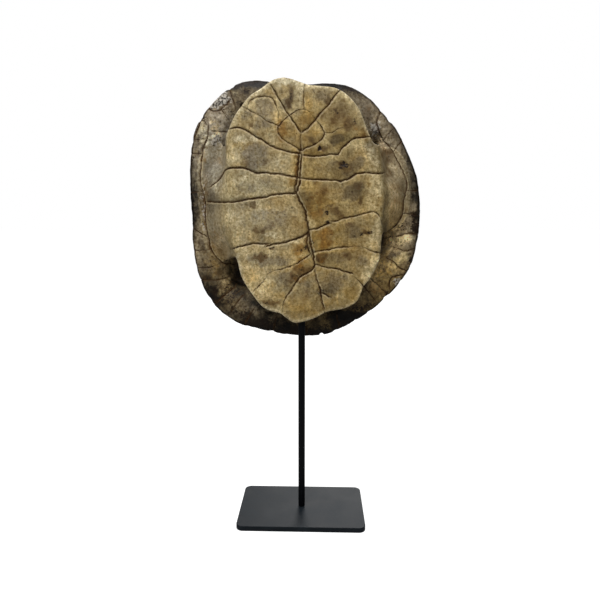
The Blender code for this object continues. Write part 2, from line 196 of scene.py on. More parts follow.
def radius_by_direction(points):
    """Radius of an outline about its centre, as a function of the direction."""
    curve = smooth_closed(points) - np.array(OUTLINE_CENTRE)
    directions = np.arctan2(curve[:, 1], curve[:, 0])
    radii = np.hypot(curve[:, 0], curve[:, 1])
    order = np.argsort(directions)

    def radius(direction):
        return np.interp(direction, directions[order], radii[order], period=2 * math.pi)

    return radius


rim_radius = radius_by_direction(RIM_OUTLINE)
plastron_radius = radius_by_direction(PLASTRON_OUTLINE)


def smooth_step(value, low, high):
    t = np.clip((value - low) / (high - low), 0.0, 1.0)
    return t * t * (3 - 2 * t)


def lumps(x, y, size, seed, layers):
    """Layered smooth noise over a plane, about -1 to 1. Its largest lumps are size wide."""
    total = np.zeros_like(x)
    for layer in range(layers):
        table = np.random.default_rng(seed * 10 + layer).uniform(-1, 1, (LUMP_TABLE, LUMP_TABLE))
        u = x / size * 2 ** layer
        v = y / size * 2 ** layer
        column = np.floor(u).astype(int)
        row = np.floor(v).astype(int)
        s = smooth_step(u - column, 0, 1)
        t = smooth_step(v - row, 0, 1)
        corners = [[table[(column + right) % LUMP_TABLE, (row + up) % LUMP_TABLE] for right in (0, 1)]
                   for up in (0, 1)]
        low, high = (left * (1 - s) + right * s for left, right in corners)
        total += 0.5 ** layer * (low * (1 - t) + high * t)
    return total / 1.5


def rim_depth(direction, share=1.0):
    return RIM_DEPTH + RIM_TILT * share * np.sin(direction)


def dome_depth(direction, share, radius):
    """Depth of the carapace's outer face at a share of the rim's radius."""
    steepness = np.abs(np.cos(direction)) ** DOME_SIDE_REACH
    shoulder = DOME_END_SHOULDER + (DOME_SIDE_SHOULDER - DOME_END_SHOULDER) * steepness
    rise = np.clip(1 - share ** DOME_FULLNESS, 0, 1) ** shoulder
    across = share * radius * np.cos(direction)
    keel = KEEL_HEIGHT * np.exp(-(across / KEEL_HALF_WIDTH) ** 2)
    return rim_depth(direction, share) + DOME_HEIGHT * rise + keel * (1 - share ** KEEL_FADE)


def plastron_depth(x, z, crown=PLASTRON_CROWN):
    """Depth of the belly's outer face: nearly flat, and back to the rim at the bridges."""
    left = (x - BRIDGE_START_LEFT) / (BRIDGE_END_LEFT - BRIDGE_START_LEFT)
    right = (x - BRIDGE_START_RIGHT) / (BRIDGE_END_RIGHT - BRIDGE_START_RIGHT)
    turn = np.clip(np.where(x < 0, left, right), 0, 1) ** BRIDGE_CURVE
    for side, start, width, low, high in BRIDGE_CORNERS:
        corner = smooth_step(side * x - start, 0, width) * smooth_step(z, low, high)
        turn = turn + (BRIDGE_CORNER_TURN - turn) * corner
    half_width, half_height = PLASTRON_HALF_SIZE
    face = PLASTRON_FACE_DEPTH + crown * ((x / half_width) ** 2 + (z / half_height) ** 2)
    step = 0.0
    for side, edge in ((-1, PLATE_EDGE_LEFT), (1, PLATE_EDGE_RIGHT)):
        heights, places, steps = zip(*edge)
        beyond = side * (x - np.interp(z, heights, places))
        step = step + np.interp(z, heights, steps) * smooth_step(beyond, 0, PLATE_EDGE_WIDTH)
    return face + step + (BRIDGE_DEPTH - face - step) * turn


def lip_inner_share(direction):
    """How far in the rim's underside reaches, as a share of the radius."""
    share = np.full_like(direction, LIP_INNER_SHARE)
    for degrees, half_width, extra in LEG_GAPS:
        away = (np.degrees(direction) - degrees + 180) % 360 - 180
        share += extra * np.exp(-(away / half_width) ** 2)
    return share


def carapace_section(direction, radius):
    """Shares of the radius and depths, from the middle of the inside, round the rim, to the top."""
    shares = []
    depths = []
    inner_share = lip_inner_share(direction)
    for ring in range(CARAPACE_INNER_RINGS):
        share = inner_share * math.sin(0.5 * math.pi * ring / (CARAPACE_INNER_RINGS - 1))
        wall = WALL_AT_TOP + WALL_EXTRA_AT_RIM * share ** 2
        shares.append(share)
        depths.append(dome_depth(direction, share, radius) - wall)
    lip_ways_out = [way_out for way_out, offset in LIP_SECTION]
    lip_offsets = [offset for way_out, offset in LIP_SECTION]
    for ring in range(CARAPACE_LIP_RINGS):
        way_out = ring / CARAPACE_LIP_RINGS
        offset = np.interp(way_out, lip_ways_out + [1.0], lip_offsets + [0.0])
        shares.append(inner_share + (1 - inner_share) * way_out)
        depths.append(rim_depth(direction) + offset)
    for ring in range(CARAPACE_OUTER_RINGS + 1):
        share = max(0.0, math.cos(0.5 * math.pi * ring / CARAPACE_OUTER_RINGS))
        shares.append(np.full_like(direction, share))
        depths.append(dome_depth(direction, share, radius))
    return np.array(shares), np.array(depths)


def plastron_section(direction, radius):
    """Shares of the radius and depths, from the middle of the outside, round the edge, to the inside."""
    polar = np.pi * np.arange(PLASTRON_RINGS + 1) / PLASTRON_RINGS
    share = np.clip(np.sin(polar), 0, 1) ** PLASTRON_RING_SPREAD
    thickness = np.clip(1 - share ** PLASTRON_EDGE_ROUNDING, 0, 1) ** (1 / PLASTRON_EDGE_ROUNDING)
    side = np.where(polar < np.pi / 2, -1.0, 1.0)
    x = OUTLINE_CENTRE[0] + share[:, None] * radius * np.cos(direction)
    z = OUTLINE_CENTRE[1] + share[:, None] * radius * np.sin(direction)
    outer = plastron_depth(x, z)
    inner = plastron_depth(x, z, crown=0.0) + PLASTRON_THICKNESS
    half = 0.5 * (inner - outer) * (side * thickness)[:, None]
    return np.broadcast_to(share[:, None], x.shape), 0.5 * (inner + outer) + half


def wrapped_sphere(radius_of, section_of, meridians, rings):
    """A closed body: a sphere whose meridians follow a section and whose equator an outline."""
    bm = bmesh.new()
    bmesh.ops.create_uvsphere(bm, u_segments=meridians, v_segments=rings, radius=1.0)
    mesh = bpy.data.meshes.new("wrapped")
    bm.to_mesh(mesh)
    bm.free()
    places = np.empty(len(mesh.vertices) * 3)
    mesh.vertices.foreach_get("co", places)
    places = places.reshape(-1, 3)
    ring = np.rint(np.arccos(np.clip(places[:, 2], -1, 1)) / np.pi * rings).astype(int)
    turn = np.arctan2(places[:, 1], places[:, 0]) / (2 * np.pi)
    turn[(ring == 0) | (ring == rings)] = 0.0
    meridian = np.rint(turn * meridians).astype(int) % meridians
    directions = 2 * np.pi * np.arange(meridians) / meridians
    directions = (directions + np.pi) % (2 * np.pi) - np.pi
    radius = radius_of(directions)
    shares, depths = section_of(directions, radius)
    reach = shares[ring, meridian] * radius[meridian]
    x = OUTLINE_CENTRE[0] + reach * np.cos(directions[meridian])
    z = OUTLINE_CENTRE[1] + reach * np.sin(directions[meridian])
    moved = np.stack([x, depths[ring, meridian], z], axis=1)
    mesh.vertices.foreach_set("co", moved.ravel())
    mesh.update()
    return mesh


# ---------------------------------------------------------------- seams
# Each seam has a half width, a depth and points: x, height above the shell's middle and, where it
# isn't 1, the share of the half width there. Seams run left to right, or up, so that the painted
# highlight on their lower or right-hand lip, and the painted shade above them, always fall on the same
# side. Seams that meet are in different groups, so that each group has one clear nearest seam.
BELLY_SEAMS = {
    "plates": [
        (0.7, 0.9, [(-33, 136, 0.5), (-28, 127), (-23, 119), (-18, 110), (-13, 103), (-8, 96),
                    (-4, 90), (-1, 86)]),
        (0.65, 0.9, [(1, 86), (4, 88), (10, 93), (17, 101), (22, 107), (28, 113), (31, 117),
                     (36, 124), (42, 131)]),
        (0.75, 1.0, [(-82, 90, 0.5), (-76, 91), (-68, 91), (-61, 88), (-55, 84), (-48, 80), (-42, 77),
                     (-35, 72), (-25, 68), (-15, 65), (-2, 63)]),
        (0.65, 0.9, [(2, 61), (18, 60), (32, 62), (40, 62), (44, 68), (52, 75), (58, 79), (66, 80),
                     (77, 81, 0.5)]),
        (0.85, 1.1, [(-108, 28, 0.5), (-97, 36), (-87, 46), (-72, 48), (-62, 47), (-55, 44),
                     (-50, 42, 1.6), (-40, 42), (-28, 41), (-20, 40), (-10, 38), (-3, 37)]),
        (0.8, 1.1, [(-2, 36.5), (15, 34.5), (38, 34), (43, 33, 1.4), (48, 34), (55, 37), (62, 41),
                    (72, 42), (86, 41), (93, 43, 0.4)]),
        (0.85, 1.1, [(-77, -42, 0.8), (-70, -40), (-62, -38), (-57, -36.5), (-50, -36.5), (-42, -37),
                     (-34, -36, 0.1)]),
        (1.0, 1.2, [(-40, -39.5, 0.5), (-34, -38), (-28, -36.5), (-20, -35.5), (-14, -33.5), (-6, -31),
                    (0, -29), (5, -26), (8, -23)]),
        (0.65, 0.9, [(9, -21), (18, -19), (25, -16), (30, -14), (34, -13.5, 0.2)]),
        (0.55, 0.8, [(29, -11, 0.2), (38, -11), (44, -9), (52, -7), (60, -5.5), (70, -3), (78, -1),
                     (84, -2), (88, -7, 0.6), (91, -15, 0.3)]),
        (0.7, 0.9, [(-22, -115, 0.2), (-21, -108, 0.3), (-18, -98, 0.6), (-12, -90), (-7, -82),
                    (-2, -75), (4, -71), (11, -67), (15, -61)]),
        (0.6, 0.8, [(16, -60), (22, -61.5), (30, -63.5), (38, -64), (44, -66), (50, -68),
                    (57, -69.5), (60, -71, 0.15)]),
        (0.45, 0.6, [(60, -74, 0.2), (66, -79), (72, -86)]),
    ],
    "midline": [
        (0.6, 0.8, [(27, -116, 0.6), (26, -112), (25, -107), (23, -100), (22, -93, 1.5),
                    (21, -88, 2.0), (19, -82, 1.4), (17, -76), (16, -68, 0.8), (15, -60)]),
        (1.05, 1.2, [(15, -60, 0.6), (14, -54), (13, -48, 1.5), (12, -42), (10, -35), (9, -28),
                     (8, -20), (6, -10), (4, 1), (-1, 10), (-6, 20)]),
        (0.8, 1.0, [(-7, 20, 1.2), (-7, 25), (-6, 31), (-5, 37), (-4, 45), (-4, 52), (-3, 58, 1.2),
                    (-2, 64, 1.4)]),
        (0.5, 0.6, [(-1, 66), (-1, 78, 0.6), (-1, 86, 0.8)]),
    ],
    "midline_twin": [
        (0.65, 0.9, [(-5, 21), (-3, 27), (-2, 33), (-1.5, 39), (-1, 46), (-0.5, 54), (0, 62)]),
        (0.6, 0.8, [(12, -51, 0.5), (9, -44), (7, -36, 0.7), (7, -28), (7, -22, 0.3)]),
    ],
    "rings": [
        (0.5, 0.6, [(3, 110, 0.5), (-4, 109), (-13, 104), (-24, 94), (-26, 90), (-25, 84), (-21, 79),
                    (-14, 74), (-6, 70), (-1, 66, 1.4), (5, 69), (13, 72), (20, 76), (24, 81), (25, 86),
                    (22, 91), (17, 98, 0.4), (9, 107, 0.3), (3, 110, 0.4)]),
        (1.1, 1.0, [(22, -92), (27, -94), (30, -96), (34, -98, 0.2)]),
        (0.5, 0.4, [(-59, 114, 0.3), (-57, 119), (-50, 123), (-42, 124), (-34, 123), (-28, 116),
                    (-25, 106, 0.5), (-25, 98, 0.2)]),
    ],
    "sutures": [
        (0.85, 1.0, [(-112, 11, 0.6), (-88, 10), (-77, 10), (-68, 11.5), (-60, 13), (-50, 14.5),
                     (-40, 15.5), (-36, 17, 1.2), (-32, 18), (-20, 19), (-8, 19.5)]),
        (0.45, 0.6, [(-55, -91, 0.6), (-48, -84), (-42, -77, 0.5), (-36, -69, 0.4), (-25, -66, 0.6),
                     (-15, -63), (-7, -60), (0, -55), (5, -52), (10, -48)]),
        (0.5, 0.6, [(15, -46, 1.3), (22, -44.5), (30, -43), (38, -41), (48, -40), (58, -39.5, 0.4),
                    (68, -40, 0.1), (74, -42, 0.8), (80, -45), (89, -47)]),
        (0.4, 0.4, [(-67, 115, 0.6), (-58, 110), (-45, 103, 0.6), (-38, 98), (-25, 93)]),
        (0.3, 0.3, [(25, 86), (33, 85), (38, 88), (46, 91, 0.2)]),
        (0.4, 0.4, [(3, 111), (2, 122, 0.7), (3, 137, 0.4)]),
    ],
}
RIM_SEAMS = {
    "plates": [
        (0.55, 0.6, [(-88, -67), (-95, -64), (-102, -58), (-107, -51), (-111, -43), (-112, -35),
                     (-113, -28), (-115, -15), (-116, -3), (-115, 10), (-120, 30), (-121, 45),
                     (-119, 60), (-117, 75), (-112, 86), (-111, 98)]),
        (0.55, 0.6, [(99, -24), (106, -21), (112, -15), (118, -4), (120, 14), (123, 33), (115, 52),
                     (111, 59), (107, 67), (99, 78), (95, 82), (92, 86), (89, 94), (87, 100),
                     (87, 106), (89, 111), (91, 117)]),
    ],
    "midline": [
        (0.8, 0.8, [(-111, 119), (-105, 116), (-99, 116), (-95, 119), (-88, 124), (-85, 128)]),
        (0.8, 0.7, [(-133, 75, 0.5), (-129, 84), (-124, 95), (-121, 102), (-123, 109, 0.6)]),
        (0.5, 0.5, [(-95, 117), (-90, 111), (-86, 105, 0.4)]),
        (0.9, 0.8, [(106, -93, 0.4), (105, -85), (107, -79), (113, -77), (123, -75, 0.5)]),
    ],
    "rings": [
        (0.5, 0.5, [(-109, -66), (-114, -68), (-120, -68), (-126, -67, 0.4)]),
        (0.6, 0.6, [(101, -55, 0.6), (110, -60), (115, -66), (121, -69), (126, -71, 0.5)]),
    ],
    "sutures": [
        (0.45, 0.5, [(-88, 148), (-79, 122)]),
        (0.4, 0.5, [(-126, 111), (-115, 104)]),
        (0.4, 0.5, [(-105, 93), (-91, 93)]),
        (0.35, 0.4, [(-136, 84), (-118, 84)]),
        (0.4, 0.4, [(-136, 68), (-118, 67)]),
        (0.35, 0.4, [(-137, 22), (-118, 24)]),
        (0.45, 0.6, [(-137, -18), (-115, -30)]),
        (0.4, 0.5, [(-136, -47), (-113, -46)]),
        (0.45, 0.6, [(-132, -83), (-96, -82), (-92, -80)]),
        (0.6, 0.7, [(-108, -112), (-97, -103), (-85, -93)]),
        (0.5, 0.6, [(-86, -120), (-80, -110), (-73, -102)]),
        (0.45, 0.5, [(-69, -133), (-60, -119)]),
        (0.5, 0.6, [(-36, -147), (-32, -127)]),
        (0.4, 0.5, [(6, -150), (5, -134)]),
        (0.45, 0.5, [(42, -126), (46, -142)]),
        (0.45, 0.6, [(85, 100), (94, 122)]),
        (0.35, 0.4, [(92, 79), (100, 89), (106, 96)]),
        (0.35, 0.4, [(106, 68), (110, 74), (119, 84)]),
        (0.35, 0.4, [(124, 24), (137, 24)]),
        (0.4, 0.5, [(120, -2), (139, -5)]),
        (0.45, 0.5, [(100, -35, 0.5), (115, -29), (119, -28), (128, -26), (139, -28)]),
        (0.45, 0.5, [(104, -41, 0.6), (115, -44), (122, -47), (128, -46), (139, -42)]),
        (0.5, 0.6, [(84, -82), (90, -87), (103, -99)]),
        (0.55, 0.6, [(74, -89), (78, -94), (88, -106)]),
    ],
}
BACK_CROSS_HEIGHTS = (92, 38, -18, -72)
BACK_ROW_HALF_WIDTH = 31
BACK_ROW_POINT = 45
BACK_ROW_TOP, BACK_ROW_BOTTOM = 122, -112
BACK_ROW_BOTTOM_FLARE = 7
BACK_SIDE_FAN = 0.0125
BACK_RING_SHARE = 0.87
BACK_RING_POINTS = 72
BACK_SIDE_SEAM_END = 0.86
BACK_EDGE_SEAM_START = 1.05
BACK_SEAM = (0.7, 0.9)               # half width and depth
SEAM_REACH = 14.0

STAIN_WARP, STAIN_WARP_SHARE, STAIN_WARP_SIZE = 7.0, 0.8, 18.0
SMALL_STAIN, SMALL_STAIN_WARP_SIZE = 6.0, 5.0
STAIN_FADE = (0.4, 1.35)
BRIDGE_TONE_DEPTHS = (-8.0, 12.0)
INSIDE_FROM = (5.0, 8.0)

# ---------------------------------------------------------------- stains, and painted light and shade
# For each kind: x and height of the middle, half width, half height, strength
STAINS = {
    "grey": [
        (-42, 110, 15, 13, 0.75), (-25, 130, 5, 8, 0.5), (-42, 94, 15, 9, 0.65), (-62, 103, 8, 8, 0.4),
        (-16, 113, 8, 9, 0.7), (22, 124, 12, 12, 0.6), (-51, 60, 20, 14, 0.8), (-62, 29, 14, 9, 0.5),
        (-30, 30, 16, 8, 0.45), (42, 78, 10, 8, 0.9), (40, 47, 26, 9, 0.35), (58, 52, 9, 9, 0.8),
        (56, 22, 14, 12, 0.95), (-35, -12, 34, 14, 0.5), (-62, 2, 14, 14, 0.35), (30, 2, 18, 8, 0.4),
        (58, -22, 16, 10, 0.6), (-40, -54, 26, 10, 0.7), (40, -52, 22, 9, 0.65), (66, -54, 8, 8, 0.6),
        (-16, -78, 13, 12, 0.75), (4, -84, 12, 10, 0.6), (38, -80, 18, 14, 0.7), (-34, -60, 8, 10, 0.5),
    ],
    "brown": [
        (-12, 122, 4, 13, 0.95), (-56, 95, 5, 4, 0.6), (40, 104, 19, 15, 0.65), (54, 96, 8, 10, 0.7),
        (44, 91, 16, 5, 0.35), (28, 116, 6, 6, 0.4), (49, 51, 8, 7, 0.6), (-41, 53, 5, 4, 0.5),
        (-62, 55, 5, 5, 0.4), (60, 28, 8, 7, 0.6), (67, 12, 3, 6, 0.9), (40, -2, 12, 7, 0.7),
        (-55, 7, 5, 4, 0.7), (-49, -22, 8, 5, 0.7), (-9, -13, 9, 7, 0.2), (-36, -15, 12, 7, 0.3),
        (62, -15, 12, 5, 0.4), (73, -24, 6, 3, 0.8), (-48, -52, 10, 5, 0.8), (2, -65, 12, 8, 0.95),
        (-7, -74, 8, 7, 0.8), (-14, -84, 6, 9, 0.6), (24, -51, 7, 7, 0.8), (52, -50, 5, 5, 0.7),
        (-36, -104, 16, 4, 0.7), (0, -96, 16, 12, 0.3), (22, 22, 16, 12, 0.45), (8, -34, 5, 12, 0.4),
        (-66, 111, 6, 4, 0.5), (-3, 42, 3, 22, 0.7), (24, 68, 9, 5, 0.5), (11, 78, 7, 5, 0.6),
        (-34, -41, 5, 3, 0.6),
    ],
    "rust": [
        (-20, 88, 7, 12, 0.8), (70, 86, 5, 6, 0.9), (61, 91, 5, 4, 0.5), (4, 99, 10, 6, 0.4),
        (-4, 42, 3.5, 24, 1.0), (6, -8, 3, 16, 0.5), (24, -28, 10, 12, 0.95), (30, -22, 5, 8, 0.7),
        (-1, -43, 9, 8, 0.95), (13, 8, 10, 16, 0.45), (-45, 14, 20, 2, 0.6), (3, -58, 8, 6, 0.5),
        (-12, 34, 8, 5, 0.5), (24, -50, 5, 8, 0.4), (-2, -77, 12, 4, 0.35),
    ],
    "pale": [
        (-14, 138, 22, 4, 0.6), (-1, 126, 4, 12, 0.5), (-52, 121, 16, 5, 0.6), (27, 76, 6, 9, 0.8),
        (63, 70, 10, 7, 0.7), (-62, 80, 20, 6, 0.7), (-17, 54, 12, 12, 0.6), (78, 60, 9, 16, 0.7),
        (82, 30, 8, 14, 0.7), (78, 14, 8, 14, 0.5), (12, -11, 7, 8, 0.9), (-52, 6, 10, 9, 0.5),
        (-72, 0, 10, 26, 0.4), (-33, -26, 12, 4, 0.6), (84, -24, 6, 22, 0.85), (80, -38, 8, 5, 0.7),
        (-66, -48, 7, 9, 0.5), (-60, -72, 12, 13, 0.6), (-42, -98, 13, 7, 0.5), (82, -62, 5, 14, 0.85),
        (72, -72, 7, 7, 0.9), (75, -62, 4, 4, 0.8), (26, -92, 3, 1.6, 0.9), (-38, -112, 12, 3, 0.8),
        (-10, -35, 14, 3, 0.5), (16, 54, 14, 6, 0.3), (-70, 38, 10, 6, 0.4), (50, -72, 10, 5, 0.35),
    ],
    "dark": [
        (20, 68, 3.6, 3.6, 1.0), (46, 53, 4, 4, 0.95), (49, 50, 3, 3, 0.9), (44, 48, 3, 2, 0.7),
        (-51, 42.5, 3, 2, 0.8), (28, -1, 4, 3, 0.75), (30, -13, 2.5, 3, 0.8), (75, -24, 4, 2, 0.75),
        (67, -26, 3, 2, 0.7), (60, -27, 2, 2, 0.6), (-35, -41, 4, 1.6, 0.7), (0, -64, 5, 4, 0.5),
        (-8, -73, 5, 3, 0.5), (22, -91, 3.5, 5, 0.8), (12, -34, 3, 4, 0.6), (13, -46, 3, 4, 0.7),
        (-5, 27, 2.5, 4, 0.7), (-2, 62, 2.5, 3, 0.7), (5, -4, 2.5, 8, 0.6), (-10, 4, 2, 2, 0.6),
        (-12, 125, 2, 6, 0.5), (-1, -43, 4, 3, 0.5), (38, 107, 6, 4, 0.4), (58, 98, 4, 5, 0.4),
        (-40, -105, 6, 2, 0.5), (72, -86, 3, 2, 0.6), (67, 12, 2, 3, 0.4), (5, -41, 3, 4, 0.6),
    ],
    "amber": [
        (8, 118, 6, 14, 0.8), (5, 102, 13, 8, 0.9), (10, 86, 12, 7, 0.7), (-19, 88, 10, 12, 0.6),
        (-33, 128, 6, 6, 0.7), (32, 96, 7, 9, 0.6), (-15, 52, 12, 10, 0.5), (-66, 70, 9, 9, 0.6),
        (-12, 31, 9, 8, 0.5), (22, 8, 17, 16, 0.9), (18, -30, 14, 14, 0.8), (38, -22, 8, 12, 0.5),
        (-60, -74, 14, 12, 0.7), (-2, -44, 12, 10, 0.7), (-9, -13, 12, 9, 0.5), (0, -113, 18, 9, 0.8),
        (60, -96, 9, 13, 0.9), (40, -104, 14, 6, 0.6), (-32, -100, 16, 10, 0.5), (78, -6, 8, 16, 0.3),
        (-28, -92, 12, 12, 0.4), (20, 62, 16, 5, 0.4), (84, -40, 6, 10, 0.5), (-56, 5, 12, 8, 0.4),
        (72, 82, 6, 8, 0.6), (2, -60, 14, 8, 0.6), (-70, -30, 8, 8, 0.4), (76, 30, 8, 10, 0.3),
    ],
}
# The same on the rim's underside, the bridges and the bone around the leg openings
RIM_STAINS = {
    "grey": [
        (-112, 20, 10, 40, 0.5), (118, 90, 12, 14, 0.5), (-108, 110, 6, 5, 0.5), (84, 114, 6, 5, 0.6),
        (-122, -34, 9, 12, 0.6), (-121, -54, 8, 8, 0.5), (-88, -118, 12, 8, 0.4), (107, 86, 7, 6, 0.5),
        (-60, 140, 20, 6, 0.3), (104, 40, 6, 14, 0.5),
    ],
    "brown": [
        (112, 8, 12, 26, 0.4), (-98, -10, 14, 30, 0.2), (110, 30, 12, 12, 0.5), (98, 66, 9, 9, 0.7),
        (-102, -49, 10, 8, 0.4), (-112, -43, 7, 7, 0.5), (91, -91, 11, 11, 0.4), (-101, -75, 6, 6, 0.6),
        (-117, -82, 6, 6, 0.6), (75, 114, 4, 11, 0.6), (97, 48, 7, 9, 0.6), (104, 16, 6, 12, 0.4),
    ],
    "rust": [
        (-116, 10, 4, 34, 0.6), (-117, 60, 4, 20, 0.5), (-104, -30, 8, 12, 0.3), (-96, 60, 6, 8, 0.3),
    ],
    "pale": [
        (-116, 86, 11, 22, 0.6), (-121, 45, 9, 24, 0.4), (125, -33, 14, 7, 0.9), (119, -55, 12, 8, 0.8),
        (110, -62, 9, 6, 0.7), (-103, 87, 5, 4, 0.9), (-103, 40, 8, 16, 0.5), (-98, 0, 6, 14, 0.35),
        (87, 84, 3, 5, 0.6), (90, 72, 4, 5, 0.7), (114, -85, 7, 6, 0.8), (-101, -96, 3, 8, 0.5),
        (-79, 137, 6, 5, 0.5), (-59, 142, 6, 4, 0.3), (-120, -55, 6, 6, 0.3), (104, 52, 6, 5, 0.4),
    ],
    # Dark patches: partly dark stains, partly painted shade, as in the band along the bottom under the
    # belly, the spots beside the leg openings and the thin bands along the rim's outer edge
    "dark": [
        (-76, 145, 8, 3, 0.9), (-60, 148, 18, 3, 0.9), (-66, 139, 6, 4, 0.7), (-117, 110, 5, 5, 0.8),
        (-74, 125, 7, 6, 0.7), (-83, 114, 4, 7, 0.6), (-100, 84, 3, 2.5, 0.9), (-104, 79, 4, 2.5, 0.8),
        (-134, 60, 4, 26, 0.6), (-137, 0, 4, 40, 0.35), (-106, -97, 5, 9, 0.95), (-104, -109, 8, 6, 0.9),
        (-115, -91, 4, 4, 0.7), (-85, -120, 7, 5, 0.8), (-90, -97, 12, 10, 0.55), (-72, -122, 14, 8, 0.7),
        (-56, -134, 30, 8, 0.85), (-10, -147, 40, 8, 0.9), (50, -140, 24, 8, 0.9), (70, -116, 16, 8, 0.7),
        (103, -99, 6, 5, 0.9), (56, 141, 8, 5, 0.95), (134, -17, 5, 10, 0.95), (131, -5, 5, 6, 0.9),
        (138, 30, 3, 20, 0.6), (74, 136, 16, 3, 0.7), (83, 100, 5, 5, 0.5), (130, -57, 4, 4, 0.7),
        (118, -16, 12, 7, 0.5), (-118, -66, 6, 8, 0.3), (93, -36, 4, 15, 1.0), (-134, -70, 4, 14, 0.6),
        (131, 60, 3, 20, 0.4),
    ],
    "amber": [(-110, -60, 14, 20, 0.35), (100, -60, 14, 20, 0.4), (-100, 100, 8, 8, 0.4)],
    "flecks": [
        (-99, 126, 15, 10, 1.0), (83, 94, 7, 8, 0.9), (114, -85, 7, 7, 0.7), (86, 78, 6, 14, 0.7),
        (-101, 84, 6, 8, 0.6), (-118, 10, 5, 40, 0.3),
    ],
}
# Broad soft washes: x and height of the middle, half width, half height, amount. Light is in stops
# and is painted light and shade: on the rim mostly painted shade under the belly and along its edges,
# and painted light in hollows beside the belly; on the belly partly the bone's own tone and partly
# painted shade beside the plates' edges. Warmth runs from the base colour, 0, to a brown tint, 1.
# Painted shade beside the plates' edges, and the belly's own lighter and darker tone, in stops
BELLY_TONE_AND_PAINTED_SHADE = [
    (-48, -5, 44, 120, 0.35), (0, -60, 90, 45, 0.2), (-6, -70, 16, 12, 0.3), (-18, -85, 7, 6, -0.3),
    (24, -28, 11, 12, 0.35), (77, 73, 6, 9, -1.2), (-42, 108, 15, 13, 0.6), (-24, 95, 5, 10, 0.8),
    (-58, 64, 30, 13, 0.3), (-40, 0, 26, 15, 0.45), (-6, -8, 8, 14, 0.3), (-22, 34, 22, 7, 0.2),
    (-48, -82, 16, 20, 0.55), (-28, -98, 12, 10, 0.35), (-55, -34, 18, 6, 0.3), (-4, -46, 7, 12, 0.35),
    (-2, -66, 14, 7, 0.25), (0, -108, 18, 8, 0.25), (6, 118, 9, 14, 0.35), (-30, 134, 14, 5, 0.3),
    (80, -46, 9, 12, 0.7), (56, -14, 9, 7, 0.35), (68, 62, 7, 14, 0.4), (25, 20, 12, 6, 0.3),
    (68, -1, 18, 5, 0.3), (40, -76, 12, 10, 0.25), (21, 88, 7, 8, 0.3), (88, 30, 6, 16, 0.3),
    (76, -82, 8, 12, 0.5), (50, 96, 12, 10, 0.35), (98, 20, 4, 20, -0.9), (95, -22, 4, 14, -1.9),
    (-96, 45, 5, 10, -0.6), (-78, -50, 4, 7, -0.6), (-8, -52, 14, 8, 0.25), (-72, 66, 12, 14, 0.25),
    (-2, 90, 16, 14, -0.25), (-26, 118, 6, 8, 0.3), (9, 66, 14, 10, -0.5), (46, 78, 22, 7, -0.8),
    (14, 48, 26, 14, -0.2), (50, 61, 8, 9, -0.5), (41, 43, 9, 6, -0.55), (4, 9, 8, 12, -1.2),
    (44, -23, 16, 10, -0.3), (26, -94, 8, 5, -0.5), (12, -40, 8, 18, -0.5), (-70, 10, 26, 6, -0.9),
    (-40, 90, 16, 6, -0.2), (65, 18, 7, 9, -0.4), (52, 108, 18, 12, -0.2), (-38, -26, 9, 9, -0.5),
    (-28, 24, 8, 9, -0.35), (-54, -60, 9, 6, -0.35), (-12, 119, 7, 12, -0.25), (58, 92, 20, 8, -0.15),
    (30, -55, 16, 8, -0.2),
]
BELLY_WARMTH = [
    (48, 0, 46, 120, 0.5), (-4, 88, 14, 14, 0.4), (-2, 64, 12, 8, 0.5), (10, 58, 14, 34, 0.5),
    (12, 8, 12, 30, 0.5), (22, -44, 20, 26, 0.45), (20, 106, 20, 12, 0.45), (48, 80, 24, 9, 0.5),
    (-20, 92, 9, 16, 0.4), (-8, 44, 7, 16, 0.4), (-60, -80, 12, 22, 0.35), (0, -110, 30, 12, 0.5),
    (-8, -62, 16, 10, 0.25), (62, -100, 14, 12, 0.3), (44, 46, 12, 10, 0.3), (-62, 56, 26, 16, -0.5),
    (-50, 0, 40, 110, -0.2), (-60, 28, 20, 8, -0.25), (-38, -4, 30, 14, -0.3), (54, 34, 9, 7, -0.4),
    (-30, -92, 10, 10, -0.35), (78, 66, 9, 14, -0.3), (-16, 136, 16, 7, -0.35), (-68, 72, 9, 6, -0.3),
]
